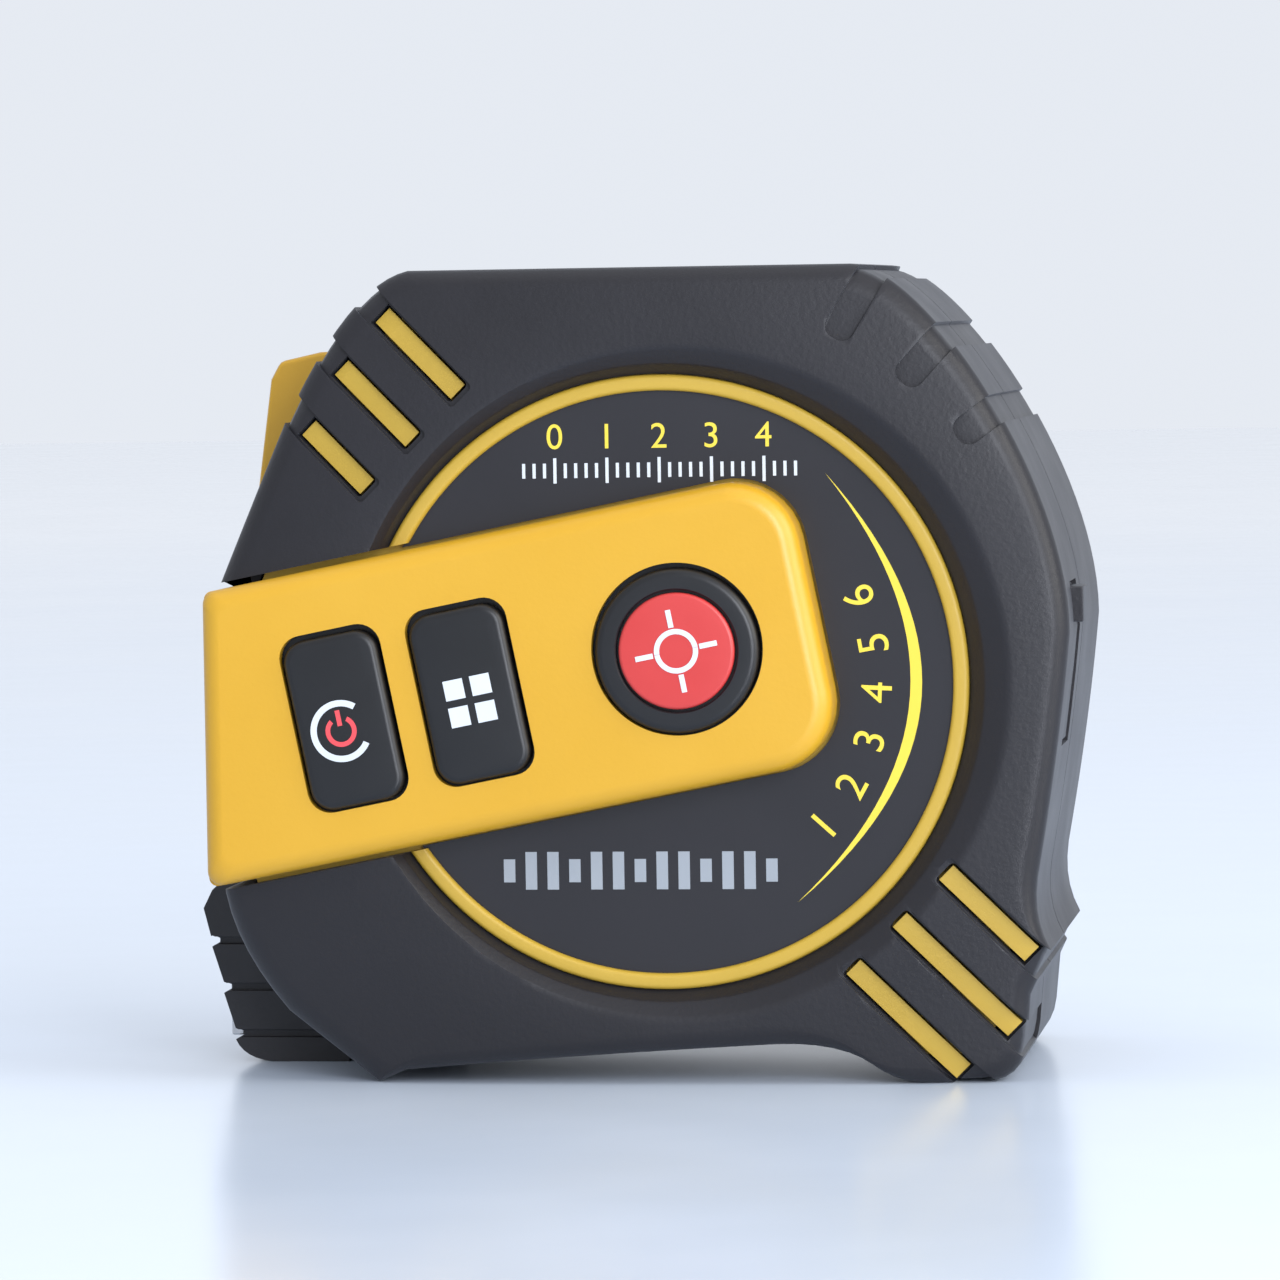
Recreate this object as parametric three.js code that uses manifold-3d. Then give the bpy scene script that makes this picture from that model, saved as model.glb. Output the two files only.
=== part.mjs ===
// Laser distance meter with a built-in steel tape, as an assembly of separate pieces.
// Frame: millimetres, +Z up, the tape leaves towards -X, the buttons face -Y, the belt clip is at +Y.
// The origin is at the middle of the footprint, on the surface that the meter stands on.
import * as THREE from 'three';
import { mergeVertices } from 'three/addons/utils/BufferGeometryUtils.js';
import Module from 'manifold-3d';

const wasm = await Module();
wasm.setup();

// ---------------------------------------------------------------- driving dimensions
const overallLength = 88;       // nose guard to port cover tab
const caseHeight = 77.6;        // floor to the top of the rubber
const noseProud = 5.4;          // nose guard in front of the rubber
const tabProud = 0.8;           // port cover tab behind the rubber
const gripWall = 2.4;           // rubber around the shells
const shellWall = 2.0;          // moulded shells
const touchGap = 0.3;           // between pieces that touch
const moveGap = 0.35;           // around pieces that move

const tapeWidth = 19;
const tapeThickness = 0.25;     // blade with its coating
const tapeCrown = 2.2;          // rise of the blade's edges over its middle
const tapeLength = 5000;
const woundPitch = 0.2;         // radial growth per turn on the spool
const bladeZ = 10.5;            // lowest line of the blade in the mouth
const tapeRoom = 0.5;           // free width on each side of the blade
const electronicsDepth = 12.6;
const midFrameThickness = 1.7;
const nearLip = 3.6;            // rubber lip over the control shell's face
const farLip = 3.0;             // rubber lip over the tape shell's face

const coverProud = 2.5;         // control cover in front of the rubber
const buttonProud = 0.6;
const capProud = 0.15;          // red cap in front of its button
const clipProud = 6.0;          // belt clip behind the rubber

const dialRim = 9.5;            // rubber around the dial, towards the top or the rear
const dialDrop = 0.6;           // dial centre under half height
const dialBack = 2.1;           // dial centre behind half length
const ringWidth = 1.2;          // yellow ring around the label
const funnelWidth = 3.0;        // sloped lip around the dial
const domeDrop = 3.2;           // how far the rubber's face falls towards its corners
const domeReach = 52;           // radius where it has fallen that far

const coverAngle = 11.2 * Math.PI / 180;
const coverTop = 14.4;          // cover edges from the line of the buttons
const coverBottom = 13.3;
const coverAxisDrop = 5.5;      // line of the buttons under the dial centre, at the front
const coverPlate = 1.4;
const coverWall = 1.8;
const coverFrontProud = 0.6;    // cover in front of the rubber's front
const coverSeam = 0.6;          // open seam between cover and rubber
const powerButtonAt = 13.45;    // along the line of the buttons, from the front
const buttonPitch = 12.35;
const measureButtonAfter = 20.2;
const coverEndAfter = 13.3;     // cover end after the measure button
const coverEndRadius = 6.5;
const buttonWidth = 9.2;
const buttonHeight = 16.4;
const buttonRadius = 2.0;
const measureRadius = 7.8;
const capRadius = 5.5;
const buttonTravel = 0.6;
const keySag = 0.15;            // the keys hang this far below the middle of their holes
const flangeOver = 0.9;         // button flange around its hole
const flangeThickness = 0.6;
const switchHeight = 1.2;
const boardThickness = 1.1;

const displayMargin = 1.5;      // shell roof left at each end of the display
const displayWidth = 10.6;
const windowThickness = 1.6;
const hubRadius = 14.5;
const hubWall = 1.8;
const postRadius = 4.0;
const bossRadius = 3.2;
const screwShank = 1.2;
const screwHead = 2.4;
const hookFloat = 0.8;
const hookThickness = 1.2;
const clipWidth = 16;
const clipThickness = 1.0;
const portLength = 15;          // port cover, upright
const portWidth = 7.5;
const lockWidth = 13;
const lockStroke = 5;
const armThickness = 1.9;       // brake arm

// ---------------------------------------------------------------- derived places
const frontX = -overallLength / 2 + noseProud;
const rearX = overallLength / 2 - tabProud;
const coilDepth = tapeWidth + 2 * tapeRoom;
const caseWidth = nearLip + shellWall + electronicsDepth + touchGap + midFrameThickness
  + coilDepth + shellWall + farLip;
const totalDepth = capProud + buttonProud + coverProud + caseWidth + clipProud;
const nearY = -totalDepth / 2 + capProud + buttonProud + coverProud;
const farY = nearY + caseWidth;
const controlFaceY = nearY + nearLip;
const controlInnerY = controlFaceY + shellWall;
const controlRimY = controlInnerY + electronicsDepth;
const frameNearY = controlRimY + touchGap;
const frameFarY = frameNearY + midFrameThickness;
const tapeRimY = frameFarY + touchGap;
const tapeInnerY = frameFarY + coilDepth;
const tapeFaceY = tapeInnerY + shellWall;
const bladeY = (frameFarY + tapeInnerY) / 2;
const partingY = (frameNearY + frameFarY) / 2;
const shellInset = gripWall + touchGap;
const cavityInset = shellInset + shellWall;

const dialX = (frontX + rearX) / 2 + dialBack;
const dialZ = caseHeight / 2 - dialDrop;
const dialRadius = Math.min(caseHeight / 2, rearX - dialX) - dialRim;
const labelRadius = dialRadius - ringWidth;
const coilRadius = Math.sqrt(hubRadius ** 2 + tapeLength * woundPitch / Math.PI);
const spoolX = dialX - 1.4;
const spoolZ = bladeZ + tapeCrown + tapeThickness + moveGap + coilRadius;

const coverY = nearY - coverProud;
const coverInnerY = coverY + coverPlate;
const coverBackY = controlFaceY - touchGap;
const buttonY = coverY - buttonProud;
const flangeY = coverInnerY + touchGap;
const switchY = flangeY + flangeThickness + buttonTravel + touchGap;
const keyBoardY = switchY + switchHeight + touchGap;
const hookX = frontX - 3.0;     // front face of the end hook

const opticsZ = dialZ - coverAxisDrop + 0.6;
const moduleHeight = 16.8;

// ---------------------------------------------------------------- materials
const paint = (color, roughness, metalness = 0) =>
  new THREE.MeshStandardMaterial({ color, roughness, metalness });
const yellow = paint(0xf2bd45, 0.45);
const rubber = paint(0x3a3a42, 0.7);
const black = paint(0x25262c, 0.5);
const labelBlack = paint(0x34333b, 0.4);
const red = paint(0xe0575a, 0.4);
const steel = paint(0xb9bcc0, 0.3, 1);
const darkSteel = paint(0x55585c, 0.35, 1);
const tapeYellow = paint(0xf4d23c, 0.4);
const glass = paint(0x1c2026, 0.08);
const boardGreen = paint(0x1f5a3a, 0.5);
const cellSilver = paint(0xc7cacd, 0.35, 0.6);
const brass = paint(0xc9a860, 0.3, 1);

// ---------------------------------------------------------------- solid helpers
function solid(geometry) {
  const bare = geometry.clone();
  bare.deleteAttribute('normal');
  bare.deleteAttribute('uv');
  const merged = mergeVertices(bare, 1e-4);
  return new wasm.Manifold(new wasm.Mesh({
    numProp: 3,
    vertProperties: new Float32Array(merged.attributes.position.array),
    triVerts: new Uint32Array(merged.index.array),
  }));
}

function geometryOf(manifold) {
  const mesh = manifold.getMesh();
  const geometry = new THREE.BufferGeometry();
  geometry.setAttribute('position', new THREE.BufferAttribute(mesh.vertProperties, 3));
  geometry.setIndex(new THREE.BufferAttribute(mesh.triVerts, 1));
  return geometry;
}

const model = new THREE.Group();

function piece(name, shape, material) {
  const geometry = shape.isBufferGeometry ? shape : geometryOf(shape);
  const mesh = new THREE.Mesh(geometry, material);
  mesh.name = name;
  model.add(mesh);
  return mesh;
}

const join = (...parts) => parts.reduce((sum, part) => sum.add(part));

// A shape drawn in X and Z, standing between two values of Y; its edges may be chamfered.
function slab(shape, y0, y1, chamfer = 0, curveSegments = 6) {
  const geometry = new THREE.ExtrudeGeometry(shape, {
    depth: y1 - y0 - 2 * chamfer,
    bevelEnabled: chamfer > 0,
    bevelSize: chamfer,
    bevelThickness: chamfer,
    bevelOffset: -chamfer,
    bevelSegments: 1,
    curveSegments,
  });
  geometry.rotateX(Math.PI / 2);
  geometry.translate(0, y1 - chamfer, 0);
  return solid(geometry);
}

// A shape drawn in Y and Z, lying between two values of X.
function beam(shape, x0, x1) {
  const geometry = new THREE.ExtrudeGeometry(shape, {
    depth: x1 - x0,
    bevelEnabled: false,
    curveSegments: 6,
  });
  geometry.applyMatrix4(new THREE.Matrix4().set(0, 0, 1, 0, 1, 0, 0, 0, 0, 1, 0, 0, 0, 0, 0, 1));
  geometry.translate(x0, 0, 0);
  return solid(geometry);
}

function block(x0, x1, y0, y1, z0, z1) {
  const geometry = new THREE.BoxGeometry(x1 - x0, y1 - y0, z1 - z0);
  geometry.translate((x0 + x1) / 2, (y0 + y1) / 2, (z0 + z1) / 2);
  return solid(geometry);
}

function rodY(x, z, radius, y0, y1, sides = 20) {
  const geometry = new THREE.CylinderGeometry(radius, radius, y1 - y0, sides);
  geometry.translate(x, (y0 + y1) / 2, z);
  return solid(geometry);
}

function rodX(y, z, radius, x0, x1, sides = 20) {
  const geometry = new THREE.CylinderGeometry(radius, radius, x1 - x0, sides);
  geometry.rotateZ(Math.PI / 2);
  geometry.translate((x0 + x1) / 2, y, z);
  return solid(geometry);
}

// A profile of [radius, y] points turned about an axis along Y.
function turned(x, z, profile, sides = 32) {
  const points = profile.map(([radius, y]) => new THREE.Vector2(radius, y));
  const geometry = new THREE.LatheGeometry(points, sides);
  geometry.translate(x, 0, z);
  return solid(geometry);
}

function roundedRect(width, height, radius) {
  const shape = new THREE.Shape();
  const w = width / 2;
  const h = height / 2;
  shape.moveTo(w, -h + radius);
  shape.lineTo(w, h - radius);
  shape.absarc(w - radius, h - radius, radius, 0, Math.PI / 2);
  shape.lineTo(-w + radius, h);
  shape.absarc(-w + radius, h - radius, radius, Math.PI / 2, Math.PI);
  shape.lineTo(-w, -h + radius);
  shape.absarc(-w + radius, -h + radius, radius, Math.PI, 1.5 * Math.PI);
  shape.lineTo(w - radius, -h);
  shape.absarc(w - radius, -h + radius, radius, 1.5 * Math.PI, 2 * Math.PI);
  return shape;
}

// ---------------------------------------------------------------- case outline
// The side view of the rubber, drawn smaller by an inset for the shells and their hollows.
const cornerFront = 19.0;       // the flat top starts this far behind the front
const cornerRear = 20.3;        // and ends this far before the rear
const slopeRun = 6.9;           // the front slope leans back this far
const slopeHigh = 14.4;         // its ends, under the top
const slopeLow = 30.5;

function caseOutline(inset = 0) {
  const f = frontX + inset;
  const r = rearX - inset;
  const top = caseHeight - inset;
  const floor = inset;
  const s = new THREE.Shape();
  s.moveTo(f + 14.9, floor);
  s.lineTo(f + 17.6, floor + 1.2);
  s.quadraticCurveTo(f + 35.5, floor + 2.9, r - 28.2, floor + 3.8);
  s.quadraticCurveTo(r - 22.0, floor + 4.0, r - 19.0, floor + 1.7);
  s.quadraticCurveTo(r - 16.8, floor, r - 14.3, floor);
  s.lineTo(r - 9.0, floor);
  s.quadraticCurveTo(r - 5.0, floor, r - 4.6, floor + 4.0);
  s.lineTo(r - 4.2, floor + 8.4);
  s.lineTo(r - 2.2, floor + 12.6);
  s.quadraticCurveTo(r - 3.9, floor + 15.6, r - 3.3, floor + 19.6);
  s.quadraticCurveTo(r - 1.0, dialZ - 6, r, dialZ + 4.5);
  s.bezierCurveTo(r, dialZ + 18.8, r - 13.4, top - 0.3, r - cornerRear, top);
  s.lineTo(f + cornerFront, top);
  s.quadraticCurveTo(f + 13.2, top - 1.2, f + slopeRun, top - slopeHigh);
  s.lineTo(f, top - slopeLow);
  s.lineTo(f, floor + 20);
  s.quadraticCurveTo(f + 0.4, floor + 13.5, f + 6.2, floor + 6.8);
  s.closePath();
  return s;
}

// How far the inset outline lies from the dial's axis in a direction. The ray may start off the
// axis, across the front-top diagonal.
function reach(inset, degrees, across = 0) {
  const dir = new THREE.Vector2(Math.cos(degrees * Math.PI / 180), Math.sin(degrees * Math.PI / 180));
  const start = new THREE.Vector2(dialX, dialZ).addScaledVector(new THREE.Vector2(1, 1).normalize(), across);
  const points = caseOutline(inset).getPoints(8);
  const hits = points.map((p, i) => {
    const a = p.clone().sub(start);
    const b = points[(i + 1) % points.length].clone().sub(start);
    const sideA = dir.cross(a);
    const sideB = dir.cross(b);
    if (sideA * sideB > 0 || sideA === sideB) return 0;
    return a.lerp(b, sideA / (sideA - sideB)).dot(dir);
  });
  return Math.min(...hits.filter((hit) => hit > 0));
}

function cornerScrew(degrees) {
  const far = reach(cavityInset, degrees) - bossRadius + 0.6;
  return [dialX + far * Math.cos(degrees * Math.PI / 180), dialZ + far * Math.sin(degrees * Math.PI / 180)];
}

// The brake arm moves down and forwards in a well in the shell's thick front corner.
const slopeLength = Math.hypot(slopeRun, slopeLow - slopeHigh);
const slopeDir = [slopeRun / slopeLength, (slopeLow - slopeHigh) / slopeLength];
const wellFront = frontX + shellInset + 4.0;
const armX = wellFront + moveGap + lockStroke * slopeDir[0];

const bladeTop = bladeZ + tapeCrown + tapeThickness;
const screwPlaces = [
  cornerScrew(135),
  cornerScrew(45),
  cornerScrew(-45),
  [armX + armThickness + moveGap + bossRadius, bladeTop + bossRadius + 1.0],
];

// A point on the line of the buttons, and off it, in X and Z.
function onCover(along, across = 0) {
  return [
    frontX + along * Math.cos(coverAngle) - across * Math.sin(coverAngle),
    dialZ - coverAxisDrop + along * Math.sin(coverAngle) + across * Math.cos(coverAngle),
  ];
}

const powerAt = onCover(powerButtonAt, -keySag);
const functionAlong = powerButtonAt + buttonPitch;
const functionAt = onCover(functionAlong, -keySag);
const measureAlong = functionAlong + measureButtonAfter;
const measureAt = onCover(measureAlong, -keySag);
const coverEnd = measureAlong + coverEndAfter;

// The cover's outline, grown by a clearance; its front end is upright.
function coverOutline(grow = 0, frontAt = frontX - coverFrontProud) {
  const high = coverTop + grow;
  const low = -coverBottom - grow;
  const end = coverEnd + grow;
  const radius = coverEndRadius + grow;
  const slope = Math.tan(coverAngle);
  const axisZ = dialZ - coverAxisDrop + (frontAt - frontX) * slope;
  const s = new THREE.Shape();
  s.moveTo(frontAt, axisZ + low / Math.cos(coverAngle));
  s.lineTo(...onCover(end - radius, low));
  const lowArc = onCover(end - radius, low + radius);
  s.absarc(lowArc[0], lowArc[1], radius, coverAngle - Math.PI / 2, coverAngle);
  const highArc = onCover(end - radius, high - radius);
  s.absarc(highArc[0], highArc[1], radius, coverAngle, coverAngle + Math.PI / 2);
  s.lineTo(frontAt, axisZ + high / Math.cos(coverAngle));
  s.closePath();
  return s;
}

function atPlace(shape, [x, z]) {
  return new THREE.Shape(shape.getPoints(4).map((p) => new THREE.Vector2(
    x + p.x * Math.cos(coverAngle) - p.y * Math.sin(coverAngle),
    z + p.x * Math.sin(coverAngle) + p.y * Math.cos(coverAngle),
  )));
}

// ---------------------------------------------------------------- rubber faces
// The rubber's domed face, with a sloped funnel down to the dial, as a solid to keep inside of.
function domedFace(faceY, towards, backY) {
  const funnel = dialRadius + funnelWidth;
  const profile = [
    [0, backY], [domeReach + 8, backY], [domeReach + 8, faceY + towards * (domeDrop + 1.6)],
    [domeReach, faceY + towards * domeDrop], [(funnel + domeReach) / 2, faceY + towards * domeDrop * 0.36],
    [funnel, faceY], [0, faceY],
  ];
  return turned(dialX, dialZ, towards > 0 ? profile.reverse() : profile, 40);
}

function dialHole(faceY, towards) {
  const wall = faceY + towards * 1.5;
  const far = faceY + towards * 8;
  const out = faceY - towards * 1;
  const profile = [
    [0, far], [dialRadius, far], [dialRadius, wall], [dialRadius + funnelWidth * 5 / 3, out], [0, out],
  ];
  return turned(dialX, dialZ, towards > 0 ? profile.reverse() : profile, 40);
}

// Three parallel slots on each diagonal corner, with a yellow rib of the shell standing in each.
// Each slot lies in a shallow groove that runs out over the rubber's edge.
const ribWidth = 1.9;
const ribDrop = 0.4;            // ribs lie this far under the floor of their groove
const slotPitch = 6.3;
const upperRibFrom = 3.8;       // ribs start this far outside the dial
const lowerRibFrom = 2.5;
const upperRibEdge = 2.6;       // rubber left outside them
const lowerRibEdge = 1.6;
const grooveWidth = 2.9;
const grooveDepth = 0.6;
const grooveReach = 12;         // how far the grooves run down the side wall
const grooveTo = 70;
const controlRows = [-1, 0, 1];
const tapeRows = [-1, 1];       // the corner screw sits between them

function diagonalBar(degrees, row, from, to, width, y0, y1) {
  const geometry = new THREE.BoxGeometry(to - from, y1 - y0, width);
  geometry.translate((from + to) / 2, (y0 + y1) / 2, 0);
  geometry.rotateY(-degrees * Math.PI / 180);
  geometry.translate(dialX + row * slotPitch * Math.SQRT1_2, 0, dialZ + row * slotPitch * Math.SQRT1_2);
  return solid(geometry);
}

function diagonalBars(rows, grow, y0, y1) {
  const ends = [[135, upperRibFrom, upperRibEdge], [-45, lowerRibFrom, lowerRibEdge]];
  const all = rows.flatMap((row) => ends.map(([degrees, from, edge]) =>
    diagonalBar(degrees, row, dialRadius + from - grow, reach(0, degrees, row * slotPitch) - edge + grow,
      ribWidth + 2 * grow, y0, y1)));
  return join(...all);
}

function slots(rows, y0, y1) {
  return diagonalBars(rows, touchGap, y0, y1);
}

function shellRibs(rows, faceY, shellY, towards) {
  const low = Math.min(faceY, shellY + towards * shellWall / 2);
  const high = Math.max(faceY, shellY + towards * shellWall / 2);
  return diagonalBars(rows, 0, low, high)
    .intersect(domedFace(faceY + towards * (grooveDepth + ribDrop), towards, shellY + towards * 4));
}

// Thumb grooves fan out over the upper rear corner; the diagonal grooves carry the slots.
const fanAngles = [60, 48, 36.5];
const fanFrom = 36.6;

function grooves(rows, faceY, towards) {
  const y0 = Math.min(faceY - towards, faceY + towards * grooveReach);
  const y1 = Math.max(faceY - towards, faceY + towards * grooveReach);
  const fan = fanAngles.map((degrees) => {
    const geometry = new THREE.BoxGeometry(grooveTo - fanFrom, y1 - y0, grooveWidth);
    geometry.translate((fanFrom + grooveTo) / 2, (y0 + y1) / 2, grooveWidth / 2);
    geometry.rotateY(-degrees * Math.PI / 180);
    geometry.translate(dialX, 0, dialZ);
    return solid(geometry);
  });
  const diagonal = rows.flatMap((row) => [
    diagonalBar(135, row, dialRadius + upperRibFrom - 0.8, grooveTo, grooveWidth, y0, y1),
    diagonalBar(-45, row, dialRadius + lowerRibFrom - 0.8, grooveTo, grooveWidth, y0, y1),
  ]);
  const floor = slab(caseOutline(grooveDepth), nearY, farY)
    .intersect(domedFace(faceY + towards * grooveDepth, towards, faceY + towards * 40));
  return join(...fan, ...diagonal).subtract(floor);
}

// ---------------------------------------------------------------- nose guard profile
const noseTop = 20.6;
const noseLength = 9;           // behind the rubber's front

function noseProfile() {
  const s = new THREE.Shape();
  const front = frontX - noseProud;
  s.moveTo(frontX + 1.3, 0);
  s.lineTo(frontX + noseLength, 0);
  s.lineTo(frontX + noseLength, noseTop);
  s.lineTo(frontX - 0.4, noseTop);
  s.lineTo(front + 0.9, noseTop - 3.6);
  s.lineTo(front, noseTop - 5.4);
  s.lineTo(front + 0.7, noseTop - 8.2);
  for (const z of [12.0, 7.4, 2.8]) {
    const x = front + 0.7 + (12.4 - z) * 0.24;
    s.lineTo(x, z + 0.5);
    s.lineTo(x + 0.7, z + 0.2);
    s.lineTo(x + 0.7, z - 0.2);
    s.lineTo(x, z - 0.6);
  }
  s.quadraticCurveTo(frontX - 1.6, 0.3, frontX + 1.3, 0);
  return s;
}

// ---------------------------------------------------------------- openings shared by pieces
const mouthY0 = bladeY - tapeWidth / 2 - tapeRoom + 0.05;
const mouthY1 = bladeY + tapeWidth / 2 + tapeRoom - 0.05;
const mouth = block(frontX - 8, frontX + 22, mouthY0, mouthY1, bladeZ - 2.3, bladeZ + tapeCrown + 1.3);

const displayX = (frontX + cornerFront + rearX - cornerRear) / 2;
const displayLength = rearX - cornerRear - frontX - cornerFront - 2 * (cavityInset + displayMargin);
const displayY = (controlInnerY + controlRimY) / 2;
function displayHole(grow, z0, z1) {
  return block(displayX - displayLength / 2 - grow, displayX + displayLength / 2 + grow,
    displayY - displayWidth / 2 - grow, displayY + displayWidth / 2 + grow, z0, z1);
}

const portZ = dialZ + 1.2;
const portY = (controlFaceY + partingY) / 2;
function portHole(grow, x0, x1) {
  return block(x0, x1, portY - portWidth / 2 - grow, portY + portWidth / 2 + grow,
    portZ - portLength / 2 - grow, portZ + portLength / 2 + grow);
}

const opticsHeight = 18;
const opticsY0 = controlInnerY + 0.4;
const opticsY1 = controlRimY - 1.6;
function opticsHole(grow, x0, x1) {
  return block(x0, x1, opticsY0 - grow, opticsY1 + grow,
    opticsZ - opticsHeight / 2 - grow, opticsZ + opticsHeight / 2 + grow);
}

// ---------------------------------------------------------------- shells and frame
function pocket(inset, y0, y1) {
  return slab(caseOutline(inset), y0, y1);
}

function screwRods(radius, y0, y1) {
  return join(...screwPlaces.map(([x, z]) => rodY(x, z, radius, y0, y1, 12)));
}

function controlShell() {
  const ring = turned(dialX, dialZ, [
    [labelRadius + touchGap, controlFaceY + 0.5], [dialRadius - touchGap, controlFaceY + 0.5],
    [dialRadius - touchGap, controlFaceY - 0.5], [labelRadius + touchGap + 0.25, controlFaceY - 0.7],
    [labelRadius + touchGap, controlFaceY - 0.4], [labelRadius + touchGap, controlFaceY + 0.5],
  ], 40).subtract(slab(coverOutline(coverSeam), controlFaceY - 3, controlFaceY + 1));
  const tub = pocket(shellInset, controlFaceY, controlRimY)
    .subtract(pocket(cavityInset, controlInnerY, controlRimY + 1));
  const bosses = screwRods(bossRadius, controlInnerY - 0.5, controlRimY);
  return join(tub, ring, bosses, shellRibs(controlRows, nearY, controlFaceY, 1))
    .subtract(screwRods(screwShank + touchGap, controlRimY - 9, controlRimY + 1))
    .subtract(opticsHole(0, frontX, frontX + cavityInset + 1))
    .subtract(displayHole(-1, caseHeight - cavityInset - 1, caseHeight))
    .subtract(portHole(-1.2, rearX - cavityInset - 4, rearX))
    .subtract(flexStrip(0.4, controlFaceY - 1, controlInnerY + 1));
}

function tapeShell() {
  const tub = pocket(shellInset, tapeRimY, tapeFaceY)
    .subtract(pocket(cavityInset, tapeRimY - 1, tapeInnerY));
  const bosses = screwRods(bossRadius, tapeRimY, tapeInnerY + 0.5);
  const post = rodY(spoolX, spoolZ, postRadius, tapeRimY + 0.4, tapeInnerY + 0.5, 24);
  return join(tub, bosses, post, shellRibs(tapeRows, farY, tapeFaceY, -1))
    .subtract(screwRods(screwShank + touchGap, tapeRimY - 1, tapeFaceY + 1))
    .subtract(screwRods(screwHead + touchGap, tapeFaceY - 1.4, tapeFaceY + 1))
    .subtract(mouth)
    .subtract(armWell())
    .subtract(lockSlot())
    .subtract(rodY(...clipScrewAt, screwShank + touchGap, tapeInnerY - 8, tapeFaceY + 1, 12));
}

function midFrame() {
  return pocket(shellInset, frameNearY, frameFarY)
    .subtract(screwRods(screwShank + touchGap, frameNearY - 1, frameFarY + 1));
}

// ---------------------------------------------------------------- lock on the front slope
// The slope runs from the front face's top to the corner; the lock slides down along it.
const slopeFoot = [frontX + shellInset, caseHeight - shellInset - slopeLow];
const slopeOut = [-slopeDir[1], slopeDir[0]];
const lockLow = -2.5;           // lock ends, along the slope from its foot
const lockHigh = 25.2;
const lockY = bladeY;

function onSlope(along, out) {
  return new THREE.Vector2(
    slopeFoot[0] + along * slopeDir[0] + out * slopeOut[0],
    slopeFoot[1] + along * slopeDir[1] + out * slopeOut[1],
  );
}

function slopeSlab(points, width) {
  return slab(new THREE.Shape(points.map(([along, out]) => onSlope(along, out))),
    lockY - width / 2, lockY + width / 2);
}

const stemLow = 7;
const stemHigh = 12;
const stemWidth = 6;

function lockSlot() {
  return slopeSlab([
    [stemLow - lockStroke - moveGap, -6], [stemHigh + moveGap, -6],
    [stemHigh + moveGap, 6], [stemLow - lockStroke - moveGap, 6],
  ], stemWidth + 2 * moveGap);
}

function lockChannel() {
  return slopeSlab([
    [lockLow - lockStroke - 1.2, -0.2], [lockHigh + 1.0, -0.2], [lockHigh + 1.0, 16],
    [lockLow - lockStroke - 1.2, 16],
  ], lockWidth + 1.2);
}

function lockSlider() {
  const thumb = slopeSlab([
    [lockLow, moveGap], [lockHigh, moveGap], [lockHigh, 6.1], [lockHigh - 2.7, 9.9],
    [lockHigh - 4.7, 10.1], [lockHigh - 16.2, 7.0], [lockLow + 2.4, 4.4], [lockLow, 2.6],
  ], lockWidth);
  const stem = slopeSlab([[stemLow, -3.2], [stemHigh, -3.2], [stemHigh, 1], [stemLow, 1]], stemWidth);
  return thumb.add(stem);
}

// The brake arm hangs from the stem, inside the shell, down to a pad over the middle of the blade.
const padGap = 0.7;             // left over the blade when the lock is on
const padZ = bladeZ + tapeThickness + padGap + lockStroke * slopeDir[1];

function lockArm() {
  const s = new THREE.Shape();
  const outer = onSlope(stemLow - touchGap, -shellWall - 1.1);
  const inner = onSlope(stemLow - touchGap, -shellWall - 3.2);
  s.moveTo(armX, padZ);
  s.lineTo(armX + armThickness, padZ);
  s.lineTo(armX + armThickness, inner.y - 1.2);
  s.lineTo(inner.x, inner.y);
  s.lineTo(outer.x, outer.y);
  s.lineTo(armX, inner.y - 2.4);
  s.closePath();
  return slab(s, lockY - stemWidth / 2, lockY + stemWidth / 2);
}

function armWell() {
  const half = stemWidth / 2 + moveGap;
  const low = padZ - lockStroke * slopeDir[1] - moveGap;
  return block(wellFront, armX + armThickness + moveGap, lockY - half, lockY + half,
    low, slopeFoot[1] - shellWall);
}

// ---------------------------------------------------------------- rubber grips and nose guard
function controlGrip() {
  const gripCut = pocket(gripWall, controlFaceY - touchGap, partingY + 1);
  const frontGap = slab(coverOutline(coverSeam, frontX - 4), nearY, controlRimY - 0.6)
    .intersect(block(frontX - 4, frontX + gripWall + 0.6, nearY - 2, controlRimY, 0, caseHeight));
  return pocket(0, nearY, partingY - touchGap / 2)
    .intersect(domedFace(nearY, 1, partingY + 2))
    .subtract(gripCut)
    .subtract(dialHole(nearY, 1))
    .subtract(slab(coverOutline(coverSeam, frontX - 6), nearY - 2, controlFaceY + 1))
    .subtract(frontGap)
    .subtract(slots(controlRows, nearY - 1, controlFaceY + 1))
    .subtract(grooves(controlRows, nearY, 1))
    .subtract(displayHole(touchGap, caseHeight - gripWall - 3, caseHeight + 1))
    .subtract(portHole(touchGap, rearX - gripWall - 2, rearX + 2));
}

function tapeGrip() {
  const gripCut = pocket(gripWall, partingY - 1, tapeFaceY + touchGap);
  const noseZone = block(frontX - 8, frontX + noseLength + touchGap, partingY - 1, farY + 1,
    -1, noseTop + touchGap);
  return pocket(0, partingY + touchGap / 2, farY)
    .intersect(domedFace(farY, -1, partingY - 2))
    .subtract(gripCut)
    .subtract(dialHole(farY, -1))
    .subtract(slots(tapeRows, tapeFaceY - 1, farY + 1))
    .subtract(grooves(tapeRows, farY, -1))
    .subtract(lockChannel())
    .subtract(screwRods(screwHead + 0.8, tapeFaceY - 1, farY + 1))
    .subtract(noseZone);
}

function noseGuard() {
  const nose = slab(noseProfile(), partingY + touchGap / 2, farY - 1.2, 0);
  const hookRoom = block(frontX - 8, frontX - 0.9, mouthY0, mouthY1, -1, bladeZ + tapeCrown + 1.3);
  return nose
    .subtract(slab(caseOutline(gripWall), partingY - 1, tapeFaceY + touchGap))
    .subtract(mouth)
    .subtract(hookRoom);
}

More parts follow.
